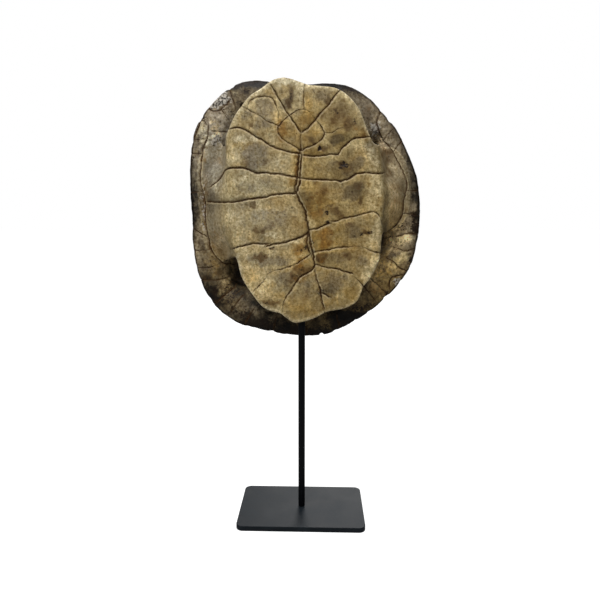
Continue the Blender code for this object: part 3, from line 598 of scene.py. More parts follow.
# Painted light and shade on the rim's underside and around the leg openings, with a little of the bone's
# own tone, in stops
RIM_PAINTED_LIGHT_AND_SHADE = [
    (0, -150, 90, 10, -3.0), (52, -132, 30, 12, -2.0), (-84, -112, 32, 24, -0.3),
    (-48, -134, 36, 10, -1.5), (-106, -102, 16, 16, -1.5), (-138, -5, 8, 80, -1.8),
    (134, 62, 13, 54, -1.6), (139, -4, 6, 30, -1.8), (-64, 147, 30, 8, -2.8), (48, 147, 40, 9, -2.8),
    (74, -130, 34, 12, -1.6), (114, 100, 12, 16, -0.4), (-104, 47, 8, 12, -0.7), (-102, 104, 17, 16, 1.4),
    (-98, 88, 8, 12, 1.0), (91, 77, 9, 13, 2.5), (106, 8, 12, 30, 1.2), (106, -36, 10, 14, 1.5),
    (94, -64, 8, 12, 2.0), (87, -87, 9, 12, 2.0), (-96, -34, 11, 17, 1.0), (108, -54, 10, 9, -1.0),
    (-86, -61, 7, 6, 2.0), (-94, -94, 9, 6, 1.0), (-80, -50, 4, 7, -1.0), (30, -136, 10, 8, 1.7),
    (-38, -131, 13, 6, 1.4), (-58, -122, 8, 6, 0.6), (-76, -108, 9, 8, 0.8), (-84, -84, 8, 13, -2.2),
    (-74, -100, 8, 9, -1.5), (-60, -114, 10, 8, -1.2), (-42, -127, 10, 7, -1.0), (-93, -84, 9, 10, 0.9),
    (-88, -108, 6, 12, 0.6), (-118, -92, 10, 22, -1.0), (-101, 125, 9, 8, 1.6), (-101, -31, 9, 9, 0.6),
    (120, -20, 10, 16, 0.8), (128, -28, 8, 8, 0.8), (112, -66, 10, 8, 0.6), (-126, -30, 7, 26, 0.7),
    (-130, -52, 5, 20, 0.9), (134, 0, 5, 8, 1.4), (-100, 10, 24, 8, -0.6), (-132, 8, 14, 24, -0.8),
    (122, 30, 8, 20, -0.3), (-116, -62, 8, 8, 0.4), (-121, 70, 8, 12, 0.9), (98, -38, 5, 12, -2.0),
    (95, -18, 4, 14, -1.5), (70, -116, 7, 6, 0.9), (84, 106, 8, 10, 0.8), (122, -60, 12, 10, 0.4),
]
RIM_WARMTH = [
    (104, -84, 34, 42, 1.1), (-92, -92, 30, 34, 0.8), (106, -10, 18, 30, 0.6), (0, -140, 60, 16, 1.0),
    (-66, 145, 20, 8, 0.8), (40, 142, 40, 8, 0.8), (125, 50, 20, 60, 0.1), (60, -120, 40, 20, 1.0),
    (-106, -52, 14, 14, 0.4), (-122, 8, 8, 40, 0.3), (-74, 126, 14, 14, 0.3), (-106, 56, 22, 36, -0.6),
    (-100, 100, 18, 18, -0.4),
]
WASHES = ((BELLY_TONE_AND_PAINTED_SHADE, RIM_PAINTED_LIGHT_AND_SHADE), (BELLY_WARMTH, RIM_WARMTH))
WASH_WARP, WASH_WARP_SIZE = 5.0, 14.0
# The masks that the mesh carries, three to a vector
MASK_VECTORS = {
    "masks_a": ("grey", "brown", "rust"),
    "masks_b": ("pale", "dark", "amber"),
    "masks_c": ("flecks", "bridge", "inside"),
    "masks_d": ("belly", "rim", "back"),
}


def smooth_open(points, steps):
    """Points along a smooth open curve through the given ones. Their third value is a width share."""
    here = np.array([(*point, 1.0)[:3] for point in points], float)
    padded = np.vstack([2 * here[0] - here[1], here, 2 * here[-1] - here[-2]])
    rows = [curve_point(*padded[index:index + 4], step / steps)
            for index in range(len(here) - 1) for step in range(steps)]
    return np.array(rows + [here[-1]])


def nearest_seam(x, z, seams, smooth=True):
    """Signed distance to the nearest seam, and that seam's half width and depth."""
    signed = np.full(x.shape, SEAM_REACH)
    half_width = np.zeros_like(x)
    depth = np.zeros_like(x)
    for seam_half_width, seam_depth, points in seams:
        line = smooth_open(points, 4 if smooth else 1)
        low = line.min(axis=0) - SEAM_REACH
        high = line.max(axis=0) + SEAM_REACH
        near = np.nonzero((x > low[0]) & (x < high[0]) & (z > low[1]) & (z < high[1]))[0]
        found = signed[near]
        share = np.zeros_like(found)
        for start, end in zip(line, line[1:]):
            along_x, along_z, widening = end - start
            dx = x[near] - start[0]
            dz = z[near] - start[1]
            t = np.clip((dx * along_x + dz * along_z) / (along_x ** 2 + along_z ** 2), 0, 1)
            gap = np.hypot(dx - t * along_x, dz - t * along_z)
            side = np.where(along_x * dz > along_z * dx, 1.0, -1.0)
            closer = gap < np.abs(found)
            found[closer] = (gap * side)[closer]
            share[closer] = (start[2] + t * widening)[closer]
        changed = found != signed[near]
        half_width[near[changed]] = seam_half_width * share[changed]
        depth[near[changed]] = seam_depth * np.minimum(share[changed], 1.0)
        signed[near] = found
    return signed, half_width, depth


def ring_point(direction, share):
    radius = float(rim_radius(direction))
    return (OUTLINE_CENTRE[0] + share * radius * math.cos(direction),
            OUTLINE_CENTRE[1] + share * radius * math.sin(direction))


def back_seams():
    """Seams between the horny plates' places on the back, in groups that don't meet themselves."""
    cross = [[(-BACK_ROW_HALF_WIDTH, height), (0, height + 3), (BACK_ROW_HALF_WIDTH, height)]
             for height in BACK_CROSS_HEIGHTS]
    borders = []
    sides = []
    for side in (-1, 1):
        border = [(side * BACK_ROW_HALF_WIDTH, BACK_ROW_TOP)]
        for height, following in zip(BACK_CROSS_HEIGHTS, BACK_CROSS_HEIGHTS[1:]):
            point = (side * BACK_ROW_POINT, 0.5 * (height + following))
            outward = math.atan2(point[1] * BACK_SIDE_FAN, side)
            border += [(side * BACK_ROW_HALF_WIDTH, height), point]
            sides.append([point, ring_point(outward, BACK_SIDE_SEAM_END)])
        border.append((side * BACK_ROW_HALF_WIDTH, BACK_CROSS_HEIGHTS[-1]))
        border.append((side * (BACK_ROW_HALF_WIDTH + BACK_ROW_BOTTOM_FLARE), BACK_ROW_BOTTOM))
        borders.append(border)
    ring = [ring_point(2 * math.pi * step / BACK_RING_POINTS, BACK_RING_SHARE)
            for step in range(BACK_RING_POINTS + 1)]
    groups = {"plates": cross, "midline": borders, "midline_twin": [ring], "rings": sides}
    groups = {name: [(*BACK_SEAM, line) for line in lines] for name, lines in groups.items()}
    groups["sutures"] = []
    for half_width, depth, points in RIM_SEAMS["sutures"]:
        outer = max(points[0][:2], points[-1][:2], key=lambda end: math.dist(end, OUTLINE_CENTRE))
        direction = math.atan2(outer[1] - OUTLINE_CENTRE[1], outer[0] - OUTLINE_CENTRE[0])
        line = [ring_point(direction, share) for share in (BACK_EDGE_SEAM_START, BACK_RING_SHARE)]
        groups["sutures"].append((half_width, depth, line))
    return groups


def polar(x, z):
    """Direction from the outline's centre, distance from it, and share of the rim's radius."""
    dx = x - OUTLINE_CENTRE[0]
    dz = z - OUTLINE_CENTRE[1]
    direction = np.arctan2(dz, dx)
    reach = np.hypot(dx, dz)
    return direction, reach, reach / rim_radius(direction)


def regions(x, y, z):
    """How far each point belongs to the belly, the rim's underside and the back, 0 to 1."""
    direction, reach, share = polar(x, z)
    belly = 1 - smooth_step(y - plastron_depth(x, z), *BELLY_BAND)
    belly *= smooth_step(plastron_radius(direction) - reach, *BELLY_EDGE_BAND)
    to_back = dome_depth(direction, np.minimum(share, 1.0), rim_radius(direction)) - y
    back = (1 - smooth_step(to_back, *BACK_BAND)) * (1 - belly)
    inner_share = lip_inner_share(direction)
    rim = smooth_step(share, inner_share - RIM_BAND, inner_share) * (1 - belly) * (1 - back)
    return belly, rim, back


def chipped_rim(direction):
    """The rim's radius with its chips, which are steep on one side, and a fine serration."""
    radius = rim_radius(direction)
    bite = np.zeros_like(direction)
    for degrees, depth in RIM_NOTCHES:
        turn = (direction - math.radians(degrees) + math.pi) % (2 * math.pi) - math.pi
        along = turn * radius
        steep = np.maximum(0, depth - np.abs(along) * STEEP_CHIP_SLOPE)
        gentle = np.maximum(0, depth - np.abs(along) * GENTLE_CHIP_SLOPE) * GENTLE_CHIP_SHARE
        one_sided = (along > 0) & (depth < DEEP_CHIP)
        bite = np.maximum(bite, np.where(one_sided, np.maximum(steep, gentle), steep))
    rear = smooth_step(-np.sin(direction), *SERRATED_FROM)
    rows = np.random.default_rng(SERRATION_SEED).uniform(0, 1, SERRATION_STEPS)
    step = (direction / (2 * math.pi) % 1.0) * SERRATION_STEPS
    low = np.floor(step).astype(int) % SERRATION_STEPS
    ragged = rows[low] * (1 - step % 1) + rows[(low + 1) % SERRATION_STEPS] * (step % 1)
    return radius - bite - ragged * (SERRATION_ELSEWHERE + (SERRATION - SERRATION_ELSEWHERE) * rear)


def mesh_arrays(mesh):
    places = np.empty(len(mesh.vertices) * 3)
    mesh.vertices.foreach_get("co", places)
    normals = np.empty(len(mesh.vertices) * 3)
    mesh.vertices.foreach_get("normal", normals)
    edges = np.empty(len(mesh.edges) * 2, np.int64)
    mesh.edges.foreach_get("vertices", edges)
    return places.reshape(-1, 3), normals.reshape(-1, 3), edges.reshape(-1, 2)


def relaxed(places, edges, rounds, weight):
    """Each point drawn towards the middle of its neighbours, by its weight, a few times."""
    count = np.bincount(edges.ravel(), minlength=len(places))
    for turn in range(rounds):
        middle = np.empty_like(places)
        for axis in range(3):
            here = np.bincount(edges[:, 0], places[edges[:, 1], axis], len(places))
            there = np.bincount(edges[:, 1], places[edges[:, 0], axis], len(places))
            middle[:, axis] = (here + there) / count
        places = places + (middle - places) * weight[:, None]
    return places


def with_modifier(mesh, kind, **settings):
    """A new mesh: the given one after one modifier. The old mesh is removed."""
    thing = bpy.data.objects.new("working", mesh)
    bpy.context.scene.collection.objects.link(thing)
    groups = settings.pop("weights", None)
    if groups is not None:
        group = thing.vertex_groups.new(name="weights")
        levels = np.rint(groups * WEIGHT_LEVELS).astype(int)
        for level in range(1, WEIGHT_LEVELS + 1):
            group.add(np.nonzero(levels == level)[0].tolist(), level / WEIGHT_LEVELS, "REPLACE")
        settings["vertex_group"] = "weights"
    modifier = thing.modifiers.new("change", kind)
    for name, value in settings.items():
        setattr(modifier, name, value)
    graph = bpy.context.evaluated_depsgraph_get()
    changed = bpy.data.meshes.new_from_object(thing.evaluated_get(graph))
    bpy.data.objects.remove(thing, do_unlink=True)
    bpy.data.meshes.remove(mesh)
    return changed


def jittered(x, z, group):
    """The places a group of seams is looked up at, so that its lines are jagged."""
    amount, size = JAGGEDNESS[group]
    seed = JAG_SEED + 2 * list(JAGGEDNESS).index(group)
    return x + amount * lumps(x, z, size, seed, 2), z + amount * lumps(x, z, size, seed + 1, 2)


def grooves(x, z, groups, smooth=True):
    """Depth of the seams' grooves, and how far the plates between them stand up."""
    groove = np.zeros_like(x)
    nearest = np.full_like(x, SEAM_REACH)
    for group, seams in groups.items():
        signed, half_width, depth = nearest_seam(*jittered(x, z, group), seams, smooth)
        distance = np.abs(signed)
        width = np.maximum(half_width * GROOVE_WIDENING, 0.1)
        groove = np.maximum(groove, GROOVE_DEPTH_SHARE * depth * np.exp(-(distance / width) ** 2))
        weight = np.where(depth > PILLOW_FROM_DEPTH, 1.0, 0.0)
        nearest = np.minimum(nearest, distance * weight + SEAM_REACH * (1 - weight))
    pillow = PILLOW_HEIGHT * (1 - np.exp(-nearest / PILLOW_REACH))
    return groove, pillow


def swells(x, z, layers):
    return sum(height * lumps(x, z, size, seed, 2) for size, seed, height in layers)


def front_relief(x, z, layers, seams, hollows):
    """How far the belly or the rim's underside stands up from its plain form."""
    groove, pillow = grooves(x, z, seams)
    return swells(x, z, layers) + pillow - PILLOW_HEIGHT - groove - pits(x, z, hollows)


def back_relief(x, y, z):
    direction, reach, share = polar(x, z)
    unrolled = reach + BACK_UNROLL * (RIM_DEPTH + DOME_HEIGHT - y)
    swell = swells(unrolled * np.cos(direction), unrolled * np.sin(direction), BACK_SWELLS)
    groove, pillow = grooves(x, z, back_seams(), smooth=False)
    return swell + pillow - PILLOW_HEIGHT - BACK_INSET - groove


def pits(x, z, places):
    """Small eroded hollows: x, height, half width, half height, depth."""
    hollow = np.zeros_like(x)
    ragged = PIT_RAGGEDNESS * lumps(x, z, PIT_LUMP_SIZE, 41, 2)
    for middle_x, middle_z, half_width, half_height, depth in places:
        gap = np.hypot((x - middle_x) / half_width, (z - middle_z) / half_height) + ragged
        hollow = np.maximum(hollow, depth * (1 - smooth_step(gap, *PIT_EDGE)))
    return hollow


def shell_surface():
    """The whole shell as one closed surface with its relief, in millimetres about its middle."""
    carapace_rings = CARAPACE_INNER_RINGS + CARAPACE_LIP_RINGS + CARAPACE_OUTER_RINGS
    bm = bmesh.new()
    for mesh in (wrapped_sphere(chipped_rim, carapace_section, CARAPACE_MERIDIANS, carapace_rings),
                 wrapped_sphere(plastron_radius, plastron_section, PLASTRON_MERIDIANS, PLASTRON_RINGS)):
        bm.from_mesh(mesh)
        bpy.data.meshes.remove(mesh)
    mesh = bpy.data.meshes.new("shell_surface")
    bm.to_mesh(mesh)
    bm.free()
    mesh = with_modifier(mesh, "REMESH", mode="VOXEL", voxel_size=VOXEL)
    places, normals, edges = mesh_arrays(mesh)
    bridges = smooth_step(np.abs(places[:, 0]), *BRIDGE_RELAX_ACROSS)
    bridges *= smooth_step(places[:, 1], *BRIDGE_RELAX_DEPTHS)
    places = relaxed(places, edges, RELAX_ROUNDS, np.full(len(places), RELAX_WEIGHT))
    places = relaxed(places, edges, BRIDGE_RELAX_ROUNDS, RELAX_WEIGHT * bridges)
    mesh.vertices.foreach_set("co", places.ravel())
    mesh.update()
    places, normals, edges = mesh_arrays(mesh)
    x, y, z = places.T
    belly, rim, back = regions(x, y, z)
    move = np.zeros_like(x)
    for share, *kind in ((belly, BELLY_SWELLS, BELLY_SEAMS, BELLY_PITS),
                         (rim, RIM_SWELLS, RIM_SEAMS, RIM_PITS)):
        on = share > 0
        move[on] += share[on] * front_relief(x[on], z[on], *kind)
    on = back > 0
    move[on] += back[on] * back_relief(x[on], y[on], z[on])
    places = places + normals * move[:, None]
    mesh.vertices.foreach_set("co", places.ravel())
    mesh.update()
    loose = np.clip(1 - belly - RIM_CARE * rim - BACK_CARE * back, 0, 1)
    share_kept = SHELL_TRIANGLES / (2 * len(mesh.polygons))
    return with_modifier(mesh, "DECIMATE", ratio=share_kept, vertex_group_factor=CARE_FACTOR,
                         weights=loose)


def stain_strength(x, z, places):
    """How strongly one kind of stain covers each point, 0 to 1, with uneven edges."""
    total = np.zeros_like(x)
    wide = lumps(x, z, STAIN_WARP_SIZE, 51, 4), lumps(x, z, STAIN_WARP_SIZE, 52, 4)
    fine = lumps(x, z, SMALL_STAIN_WARP_SIZE, 53, 3), lumps(x, z, SMALL_STAIN_WARP_SIZE, 54, 3)
    for middle_x, middle_z, half_width, half_height, strength in places:
        smaller = min(half_width, half_height)
        warp = min(STAIN_WARP, STAIN_WARP_SHARE * smaller)
        sway_x, sway_z = fine if smaller < SMALL_STAIN else wide
        gap = np.hypot((x + warp * sway_x - middle_x) / half_width,
                       (z + warp * sway_z - middle_z) / half_height)
        total = np.maximum(total, strength * (1 - smooth_step(gap, *STAIN_FADE)))
    return total


def wash(x, z, places):
    """The sum of broad soft patches with uneven edges."""
    sway_x = WASH_WARP * lumps(x, z, WASH_WARP_SIZE, 55, 3)
    sway_z = WASH_WARP * lumps(x, z, WASH_WARP_SIZE, 56, 3)
    total = np.zeros_like(x)
    for middle_x, middle_z, half_width, half_height, amount in places:
        gap = np.hypot((x + sway_x - middle_x) / half_width, (z + sway_z - middle_z) / half_height)
        total += amount * np.exp(-gap ** 2)
    return total


def add_vectors(mesh, name, *columns):
    """Up to three values for each point, kept as one vector."""
    columns += (np.zeros_like(columns[0]),) * (3 - len(columns))
    attribute = mesh.attributes.new(name, "FLOAT_VECTOR", "POINT")
    attribute.data.foreach_set("vector", np.stack(columns, axis=1).ravel())


def add_seam_attributes(mesh, x, z, on_rim, on_back):
    back_groups = back_seams()
    for group, belly_seams in BELLY_SEAMS.items():
        places = jittered(x, z, group)
        signed, half_width, depth = nearest_seam(*places, belly_seams)
        rim_found = nearest_seam(*places, RIM_SEAMS.get(group, []))
        back_found = nearest_seam(*places, back_groups[group], smooth=False)
        use_rim = on_rim | ((np.abs(rim_found[0]) < np.abs(signed)) & ~on_back)
        signed = np.where(on_back, back_found[0], np.where(use_rim, rim_found[0], signed))
        half_width = np.where(on_back, back_found[1], np.where(use_rim, rim_found[1], half_width))
        add_vectors(mesh, "seam_" + group, signed, np.abs(signed), half_width)


def add_shell_attributes(mesh):
    """Seam distances, stains, washes of painted light and shade and of warmth, edges and regions, kept on
    the points for the bone material.
    """
    x, y, z = mesh_arrays(mesh)[0].T
    direction, reach, share = polar(x, z)
    belly, rim, back = regions(x, y, z)
    bridge = belly * smooth_step(y, *BRIDGE_TONE_DEPTHS)
    add_seam_attributes(mesh, x, z, (rim >= np.maximum(belly, back)) & (rim > 0),
                        back > np.maximum(belly, rim))
    inside = (1 - belly - rim - back) * smooth_step(y - plastron_depth(x, z), *INSIDE_FROM)
    masks = {"belly": belly, "rim": rim, "back": back, "bridge": bridge, "inside": np.clip(inside, 0, 1)}
    off_back = np.maximum((1 - belly) * (1 - back), bridge)
    for kind in RIM_STAINS:
        on_belly = stain_strength(x, z, STAINS.get(kind, []))
        masks[kind] = np.maximum(belly * on_belly, off_back * stain_strength(x, z, RIM_STAINS[kind]))
    for name, kinds in MASK_VECTORS.items():
        add_vectors(mesh, name, *(masks[kind] for kind in kinds))
    on_face = belly - bridge
    on_rim = np.clip((1 - belly) * (1 - back) + bridge, 0, 1)
    # The first wash is painted light and shade, partly the bone's own tone; the second is warmth
    add_vectors(mesh, "washes", *(on_face * wash(x, z, on_belly) + on_rim * wash(x, z, beside)
                                  for on_belly, beside in WASHES))
    add_vectors(mesh, "edges", plastron_radius(direction) - reach, rim_radius(direction) - reach)


def make_shell(material):
    mesh = shell_surface()
    add_shell_attributes(mesh)
    places = mesh_arrays(mesh)[0]
    places[:, 2] += SHELL_MIDDLE_HEIGHT
    mesh.vertices.foreach_set("co", (places * MM).ravel())
    mesh.update()
    mesh.shade_smooth()
    mesh.materials.clear()
    mesh.materials.append(material)
    shell = bpy.data.objects.new("shell_bone", mesh)
    bpy.context.scene.collection.objects.link(shell)
    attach(shell, "root")
    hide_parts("shell")
    return shell


# ---------------------------------------------------------------- the bone's material
# Linear colours
CREAM = (0.650, 0.515, 0.255)
OCHRE = (0.345, 0.232, 0.085)
COOL_GREY = (0.290, 0.242, 0.138)
WARM = (0.415, 0.282, 0.098)
PALE_PATCH = (0.720, 0.600, 0.345)
# Painted highlight on the belly's rounded outer edge
WHITE_EDGE_HIGHLIGHT = (0.780, 0.670, 0.430)
# Dark spots and stains; on the rim also painted shade
DARK_STAIN_AND_SHADE = (0.020, 0.010, 0.004)
WARM_TINT = (1.06, 0.92, 0.58)
GRAIN_DARK = (0.54, 0.48, 0.35)
GRAIN_PALE = (1.42, 1.49, 1.68)
SEAM_DARK = (0.036, 0.013, 0.001)
# Brown halo round the seams: partly their staining, partly painted shade on the groove's upper side
SEAM_HALO_AND_SHADE = (0.105, 0.050, 0.011)
# Painted highlight on the lip below a seam
SEAM_LIP_HIGHLIGHT = (0.740, 0.610, 0.360)
RIM_BONE = (0.370, 0.300, 0.185)
RIM_SHADE = (0.115, 0.082, 0.045)
BRIDGE_BONE = (0.360, 0.285, 0.165)
# Near black for the rim's dark blotches, which follow the painted shade: partly dark mottling, partly
# painted shade
RIM_GRIME_AND_SHADE = (0.016, 0.010, 0.005)
# Painted shade along the rim's outer edge
RIM_EDGE_SHADE = (0.040, 0.026, 0.014)
BACK_BONE = (0.520, 0.415, 0.250)
BACK_OCHRE = (0.330, 0.225, 0.095)
BACK_SHADE = (0.130, 0.085, 0.040)
BACK_GREY = (0.230, 0.195, 0.140)
# The shell's inside: its bone painted near black as shade of the cavity
INSIDE_PAINTED_SHADE = (0.060, 0.042, 0.025)
FLECK_WHITE = (0.660, 0.600, 0.500)
FLECK_BLACK = (0.050, 0.040, 0.032)
# Kind of stain, its colour, the most of it, and the noise that frays its edge
STAIN_KINDS = [
    ("pale", PALE_PATCH, 0.7, "mottle"), ("amber", (0.350, 0.228, 0.066), 0.7, "mottle"),
    ("grey", (0.150, 0.116, 0.068), 0.8, "mottle"), ("brown", (0.095, 0.050, 0.014), 0.85, "fray"),
    ("rust", (0.200, 0.102, 0.020), 0.8, "fray"),
]

# Noises: lumps per metre, detail, roughness and, where there is any, distortion
CLOUDS = (38.0, 3.0, 0.6)
PATCHES = (95.0, 8.0, 0.70)
GRAIN = (340.0, 5.0, 0.70)
STREAKS = (250.0, 5.0, 0.66)
STREAK_STRETCH = (1.0, 1.0, 0.22)
COOL_CLOUDS = (60.0, 2.0, 0.55, 0.4)
WARM_CLOUDS = (75.0, 2.0, 0.55, 0.4)
# Noise of the rim's dark blotches, partly painted shade
GRIME_AND_SHADE_NOISE = (72.0, 8.0, 0.72, 0.6)
PORE_FIELDS = (95.0, 3.0, 0.6)
RAGGED = (430.0, 4.0, 0.66)
SHAKE = (480.0, 3.0, 0.6)
UNEVEN = (210.0, 4.0, 0.6)
SOFT_CONTRAST, CONTRAST, RAGGED_CONTRAST = 3.0, 3.2, 2.6

# How the masks' edges are broken by noise: how much of it, and from where to where the edge runs
STAIN_FRAY, RIM_EDGE_SHADE_FRAY = (0.9, 0.1, 0.85), (0.9, 0.1, 0.8)
DARK_FRAY, FLECK_FRAY = (1.1, 0.3, 0.85), (1.2, 0.35, 0.8)
# Distances from the belly's and the rim's edge, in millimetres
PALE_BORDER_AND_HIGHLIGHT, WHITE_HIGHLIGHT_BORDER, RIM_SHADE_BORDER = (1.5, 6.0), (0.3, 2.0), (0.8, 5.5)
# How much the washes' painted shade adds to the rim's dark blotches, and where those start
GRIME_BY_PAINTED_SHADE, GRIME_AND_SHADE_FROM = -0.11, (0.54, 0.72)
# The most that a colour covers, and how much of the grain the frayed edges follow
COOL_SHARE, WARM_SHARE, BRIDGE_SHARE, WHITE_HIGHLIGHT_SHARE, GRIME_AND_SHADE_SHARE = 0.60, 0.45, 0.8, 0.7, 0.9
PORE_SHARE, PIT_SHARE, RIM_DIRT, GRAIN_IN_FRAY = 0.8, 0.75, 0.8, 0.4
# What a noise makes of a mark's strength, or of the bone's brightness
BORDER_STRENGTH, HALO_STRENGTH = (0.3, 0.9), (0.35, 0.95)
HIGHLIGHT_LIP_STRENGTH, LINE_STRENGTH = (0.2, 0.75), (0.75, 1.0)
STREAK_LIGHT, PATCH_LIGHT = (0.84, 1.16), (0.76, 1.22)
BONE_ROUGHNESS, SEAM_ROUGHNESS = (0.42, 0.60), 0.35
BONE_SPECULAR, VARNISH, VARNISH_ROUGHNESS = 0.22, 0.06, 0.28
# Heights of the fine relief, and each bump's distance and strength
STREAK_HEIGHT, GRAIN_HEIGHT, PATCH_HEIGHT = 0.30, 0.6, 0.5
FINE_BUMP, SEAM_BUMP = (0.00045, 0.7), (0.0007, 0.8)
# Dark pores and the larger pits in dirty places: cells per metre, and the size of the spot in each
PORES, PORE_SIZE, PORE_FIELD = 330.0, (0.10, 0.26), (0.50, 0.64)
PITS, PIT_SIZE = 150.0, (0.08, 0.24)

# Across a seam, in half widths: how far the dark line runs and where it has ended, both by the grain
LINE_TO, LINE_END = (0.0, 0.7), (0.8, 1.9)
# The same in millimetres: where the line is dropped, the halo below and above, partly painted shade, and
# the lip's painted highlight
LINE_REACH, HALO_BELOW, HALO_ABOVE = (1.8, 3.0), (-1.7, -0.5), (0.2, 2.8)
HIGHLIGHT_LIP_START, HIGHLIGHT_LIP_FADE = (0.2, 0.8), (0.9, 2.2)
STRONG_SEAM = (0.12, 0.5)            # half widths from which a seam gets its halo and lip
SEAM_SHAKE = 1.7
SEAM_WIDTH_SHARES = (0.4, 1.25)
GROOVE_WIDTH, GROOVE_EXTRA = 1.1, 0.5


class Nodes:
    """Short calls that add nodes to a material and return the socket that carries their result."""

    def __init__(self, name):
        self.material = bpy.data.materials.new(name)
        self.material.use_nodes = True
        self.tree = self.material.node_tree
        self.shader = self.tree.nodes["Principled BSDF"]
        self.place = self.tree.nodes.new("ShaderNodeTexCoord").outputs["Object"]

    def put(self, socket, value):
        if isinstance(value, bpy.types.NodeSocket):
            self.tree.links.new(value, socket)
        elif isinstance(value, tuple) and socket.type == "RGBA":
            socket.default_value = (*value, 1.0)
        else:
            socket.default_value = value

    def finish(self, **inputs):
        """Fill the shader's own inputs, named with _ for each space."""
        for name, value in inputs.items():
            self.put(self.shader.inputs[name.replace("_", " ")], value)
        return self.material

    def add(self, kind, inputs, out=0, **settings):
        """A new node with its settings and inputs, given by name or number, and one of its outputs."""
        node = self.tree.nodes.new("ShaderNode" + kind)
        for name, value in settings.items():
            setattr(node, name, value)
        for name, value in inputs.items():
            self.put(node.inputs[name], value)
        return node.outputs[out]

    def math(self, operation, *values):
        return self.add("Math", dict(enumerate(values)), operation=operation)

    def vector_math(self, operation, *values):
        return self.add("VectorMath", dict(enumerate(values)), operation=operation)

    def times(self, *values):
        return functools.reduce(functools.partial(self.math, "MULTIPLY"), values)

    def highest(self, *values):
        return functools.reduce(functools.partial(self.math, "MAXIMUM"), values)

    def less(self, value):
        return self.math("SUBTRACT", 1.0, value)

    def step(self, value, low, high):
        return self.add("MapRange", {"Value": value, "From Min": low, "From Max": high},
                        interpolation_type="SMOOTHSTEP")

    def spread(self, value, gain):
        """A noise's contrast stretched about its middle, kept from 0 to 1."""
        low, high = 0.5 - 0.5 / gain, 0.5 + 0.5 / gain
        return self.add("MapRange", {"Value": value, "From Min": low, "From Max": high})

    def between(self, value, low, high):
        return self.add("MapRange", {"Value": value, "To Min": low, "To Max": high})

    def shade(self, colour, factor):
        """A colour made lighter or darker by a factor that varies over the surface."""
        return self.add("VectorMath", {0: colour, "Scale": factor}, operation="SCALE")

    def mix(self, share, first, second, blend="MIX", kept_within=True):
        return self.add("Mix", {"Factor": share, 6: first, 7: second}, 2, data_type="RGBA",
                        clamp_factor=kept_within, blend_type=blend)

    def tinted(self, colour, tint):
        return self.mix(1.0, colour, tint, "MULTIPLY")

    def noise(self, scale, detail=4.0, roughness=0.55, distortion=0.0, place=None):
        inputs = {"Vector": place or self.place, "Scale": scale, "Detail": detail,
                  "Roughness": roughness, "Distortion": distortion}
        return self.add("TexNoise", inputs, "Fac")

    def shifted(self, distance):
        """The place moved, so that a noise there isn't the one that others read."""
        return self.vector_math("ADD", self.place, (distance, distance, distance))

    def spots(self, scale, size):
        """Round spots, one to a cell, that fade between two shares of the cell."""
        distance = self.add("TexVoronoi", {"Vector": self.place, "Scale": scale}, "Distance")
        return self.less(self.step(distance, *size))

    def attribute(self, name):
        vector = self.add("Attribute", {}, "Vector", attribute_name=name)
        return tuple(self.add("SeparateXYZ", {0: vector}).node.outputs)

    def bump(self, height, distance, strength, normal=None):
        inputs = {"Height": height, "Distance": distance, "Strength": strength}
        if normal:
            inputs["Normal"] = normal
        return self.add("Bump", inputs, "Normal")

    def broken(self, mask, noise, spread, low, high):
        """A soft mask given a frayed edge by noise. It stays nothing where the mask is nothing."""
        shifted = self.math("MULTIPLY_ADD", self.math("SUBTRACT", noise, 0.5), spread, mask)
        return self.times(self.step(shifted, low, high), self.step(mask, 0.0, 0.2))


def bone_pattern(nodes):
    """The noises and the mesh's masks that the bone's colour, edges and relief share."""
    pattern = SimpleNamespace()
    for name, kinds in MASK_VECTORS.items():
        vars(pattern).update(zip(kinds, nodes.attribute(name)))
    upright = nodes.vector_math("MULTIPLY", nodes.place, STREAK_STRETCH)
    pattern.clouds = nodes.spread(nodes.noise(*CLOUDS), SOFT_CONTRAST)
    pattern.mottle = nodes.spread(nodes.noise(*PATCHES), CONTRAST)
    pattern.grain = nodes.spread(nodes.noise(*GRAIN), CONTRAST)
    pattern.streaks = nodes.spread(nodes.noise(*STREAKS, place=upright), SOFT_CONTRAST)
    off_middle = nodes.math("SUBTRACT", pattern.grain, 0.5)
    pattern.fray = nodes.math("MULTIPLY_ADD", off_middle, GRAIN_IN_FRAY, pattern.mottle)
    pattern.off_bridge = nodes.less(pattern.bridge)
    return pattern


def bare_colour(nodes, on):
    """The belly, the bridges, the rim's underside and the back, each in its own shades."""
    cool = nodes.spread(nodes.noise(*COOL_CLOUDS), SOFT_CONTRAST)
    warm = nodes.spread(nodes.noise(*WARM_CLOUDS, nodes.shifted(3.0)), SOFT_CONTRAST)
    colour = nodes.mix(on.clouds, OCHRE, CREAM)
    colour = nodes.mix(nodes.times(cool, COOL_SHARE), colour, COOL_GREY)
    colour = nodes.mix(nodes.times(warm, WARM_SHARE), colour, WARM)
    bridge_bone = nodes.mix(on.mottle, RIM_BONE, BRIDGE_BONE)
    colour = nodes.mix(nodes.times(on.bridge, BRIDGE_SHARE), colour, bridge_bone)
    colour = nodes.mix(on.rim, colour, nodes.mix(on.mottle, RIM_SHADE, RIM_BONE))
    back_bone = nodes.mix(nodes.less(on.clouds), BACK_BONE, BACK_OCHRE)
    back_shade = nodes.mix(cool, BACK_SHADE, BACK_GREY)
    return nodes.mix(on.back, colour, nodes.mix(on.mottle, back_shade, back_bone))


def stained(nodes, on, colour):
    for kind, stain, strength, edge in STAIN_KINDS:
        frayed = nodes.broken(getattr(on, kind), getattr(on, edge), *STAIN_FRAY)
        colour = nodes.mix(nodes.times(frayed, strength), colour, stain)
    return colour


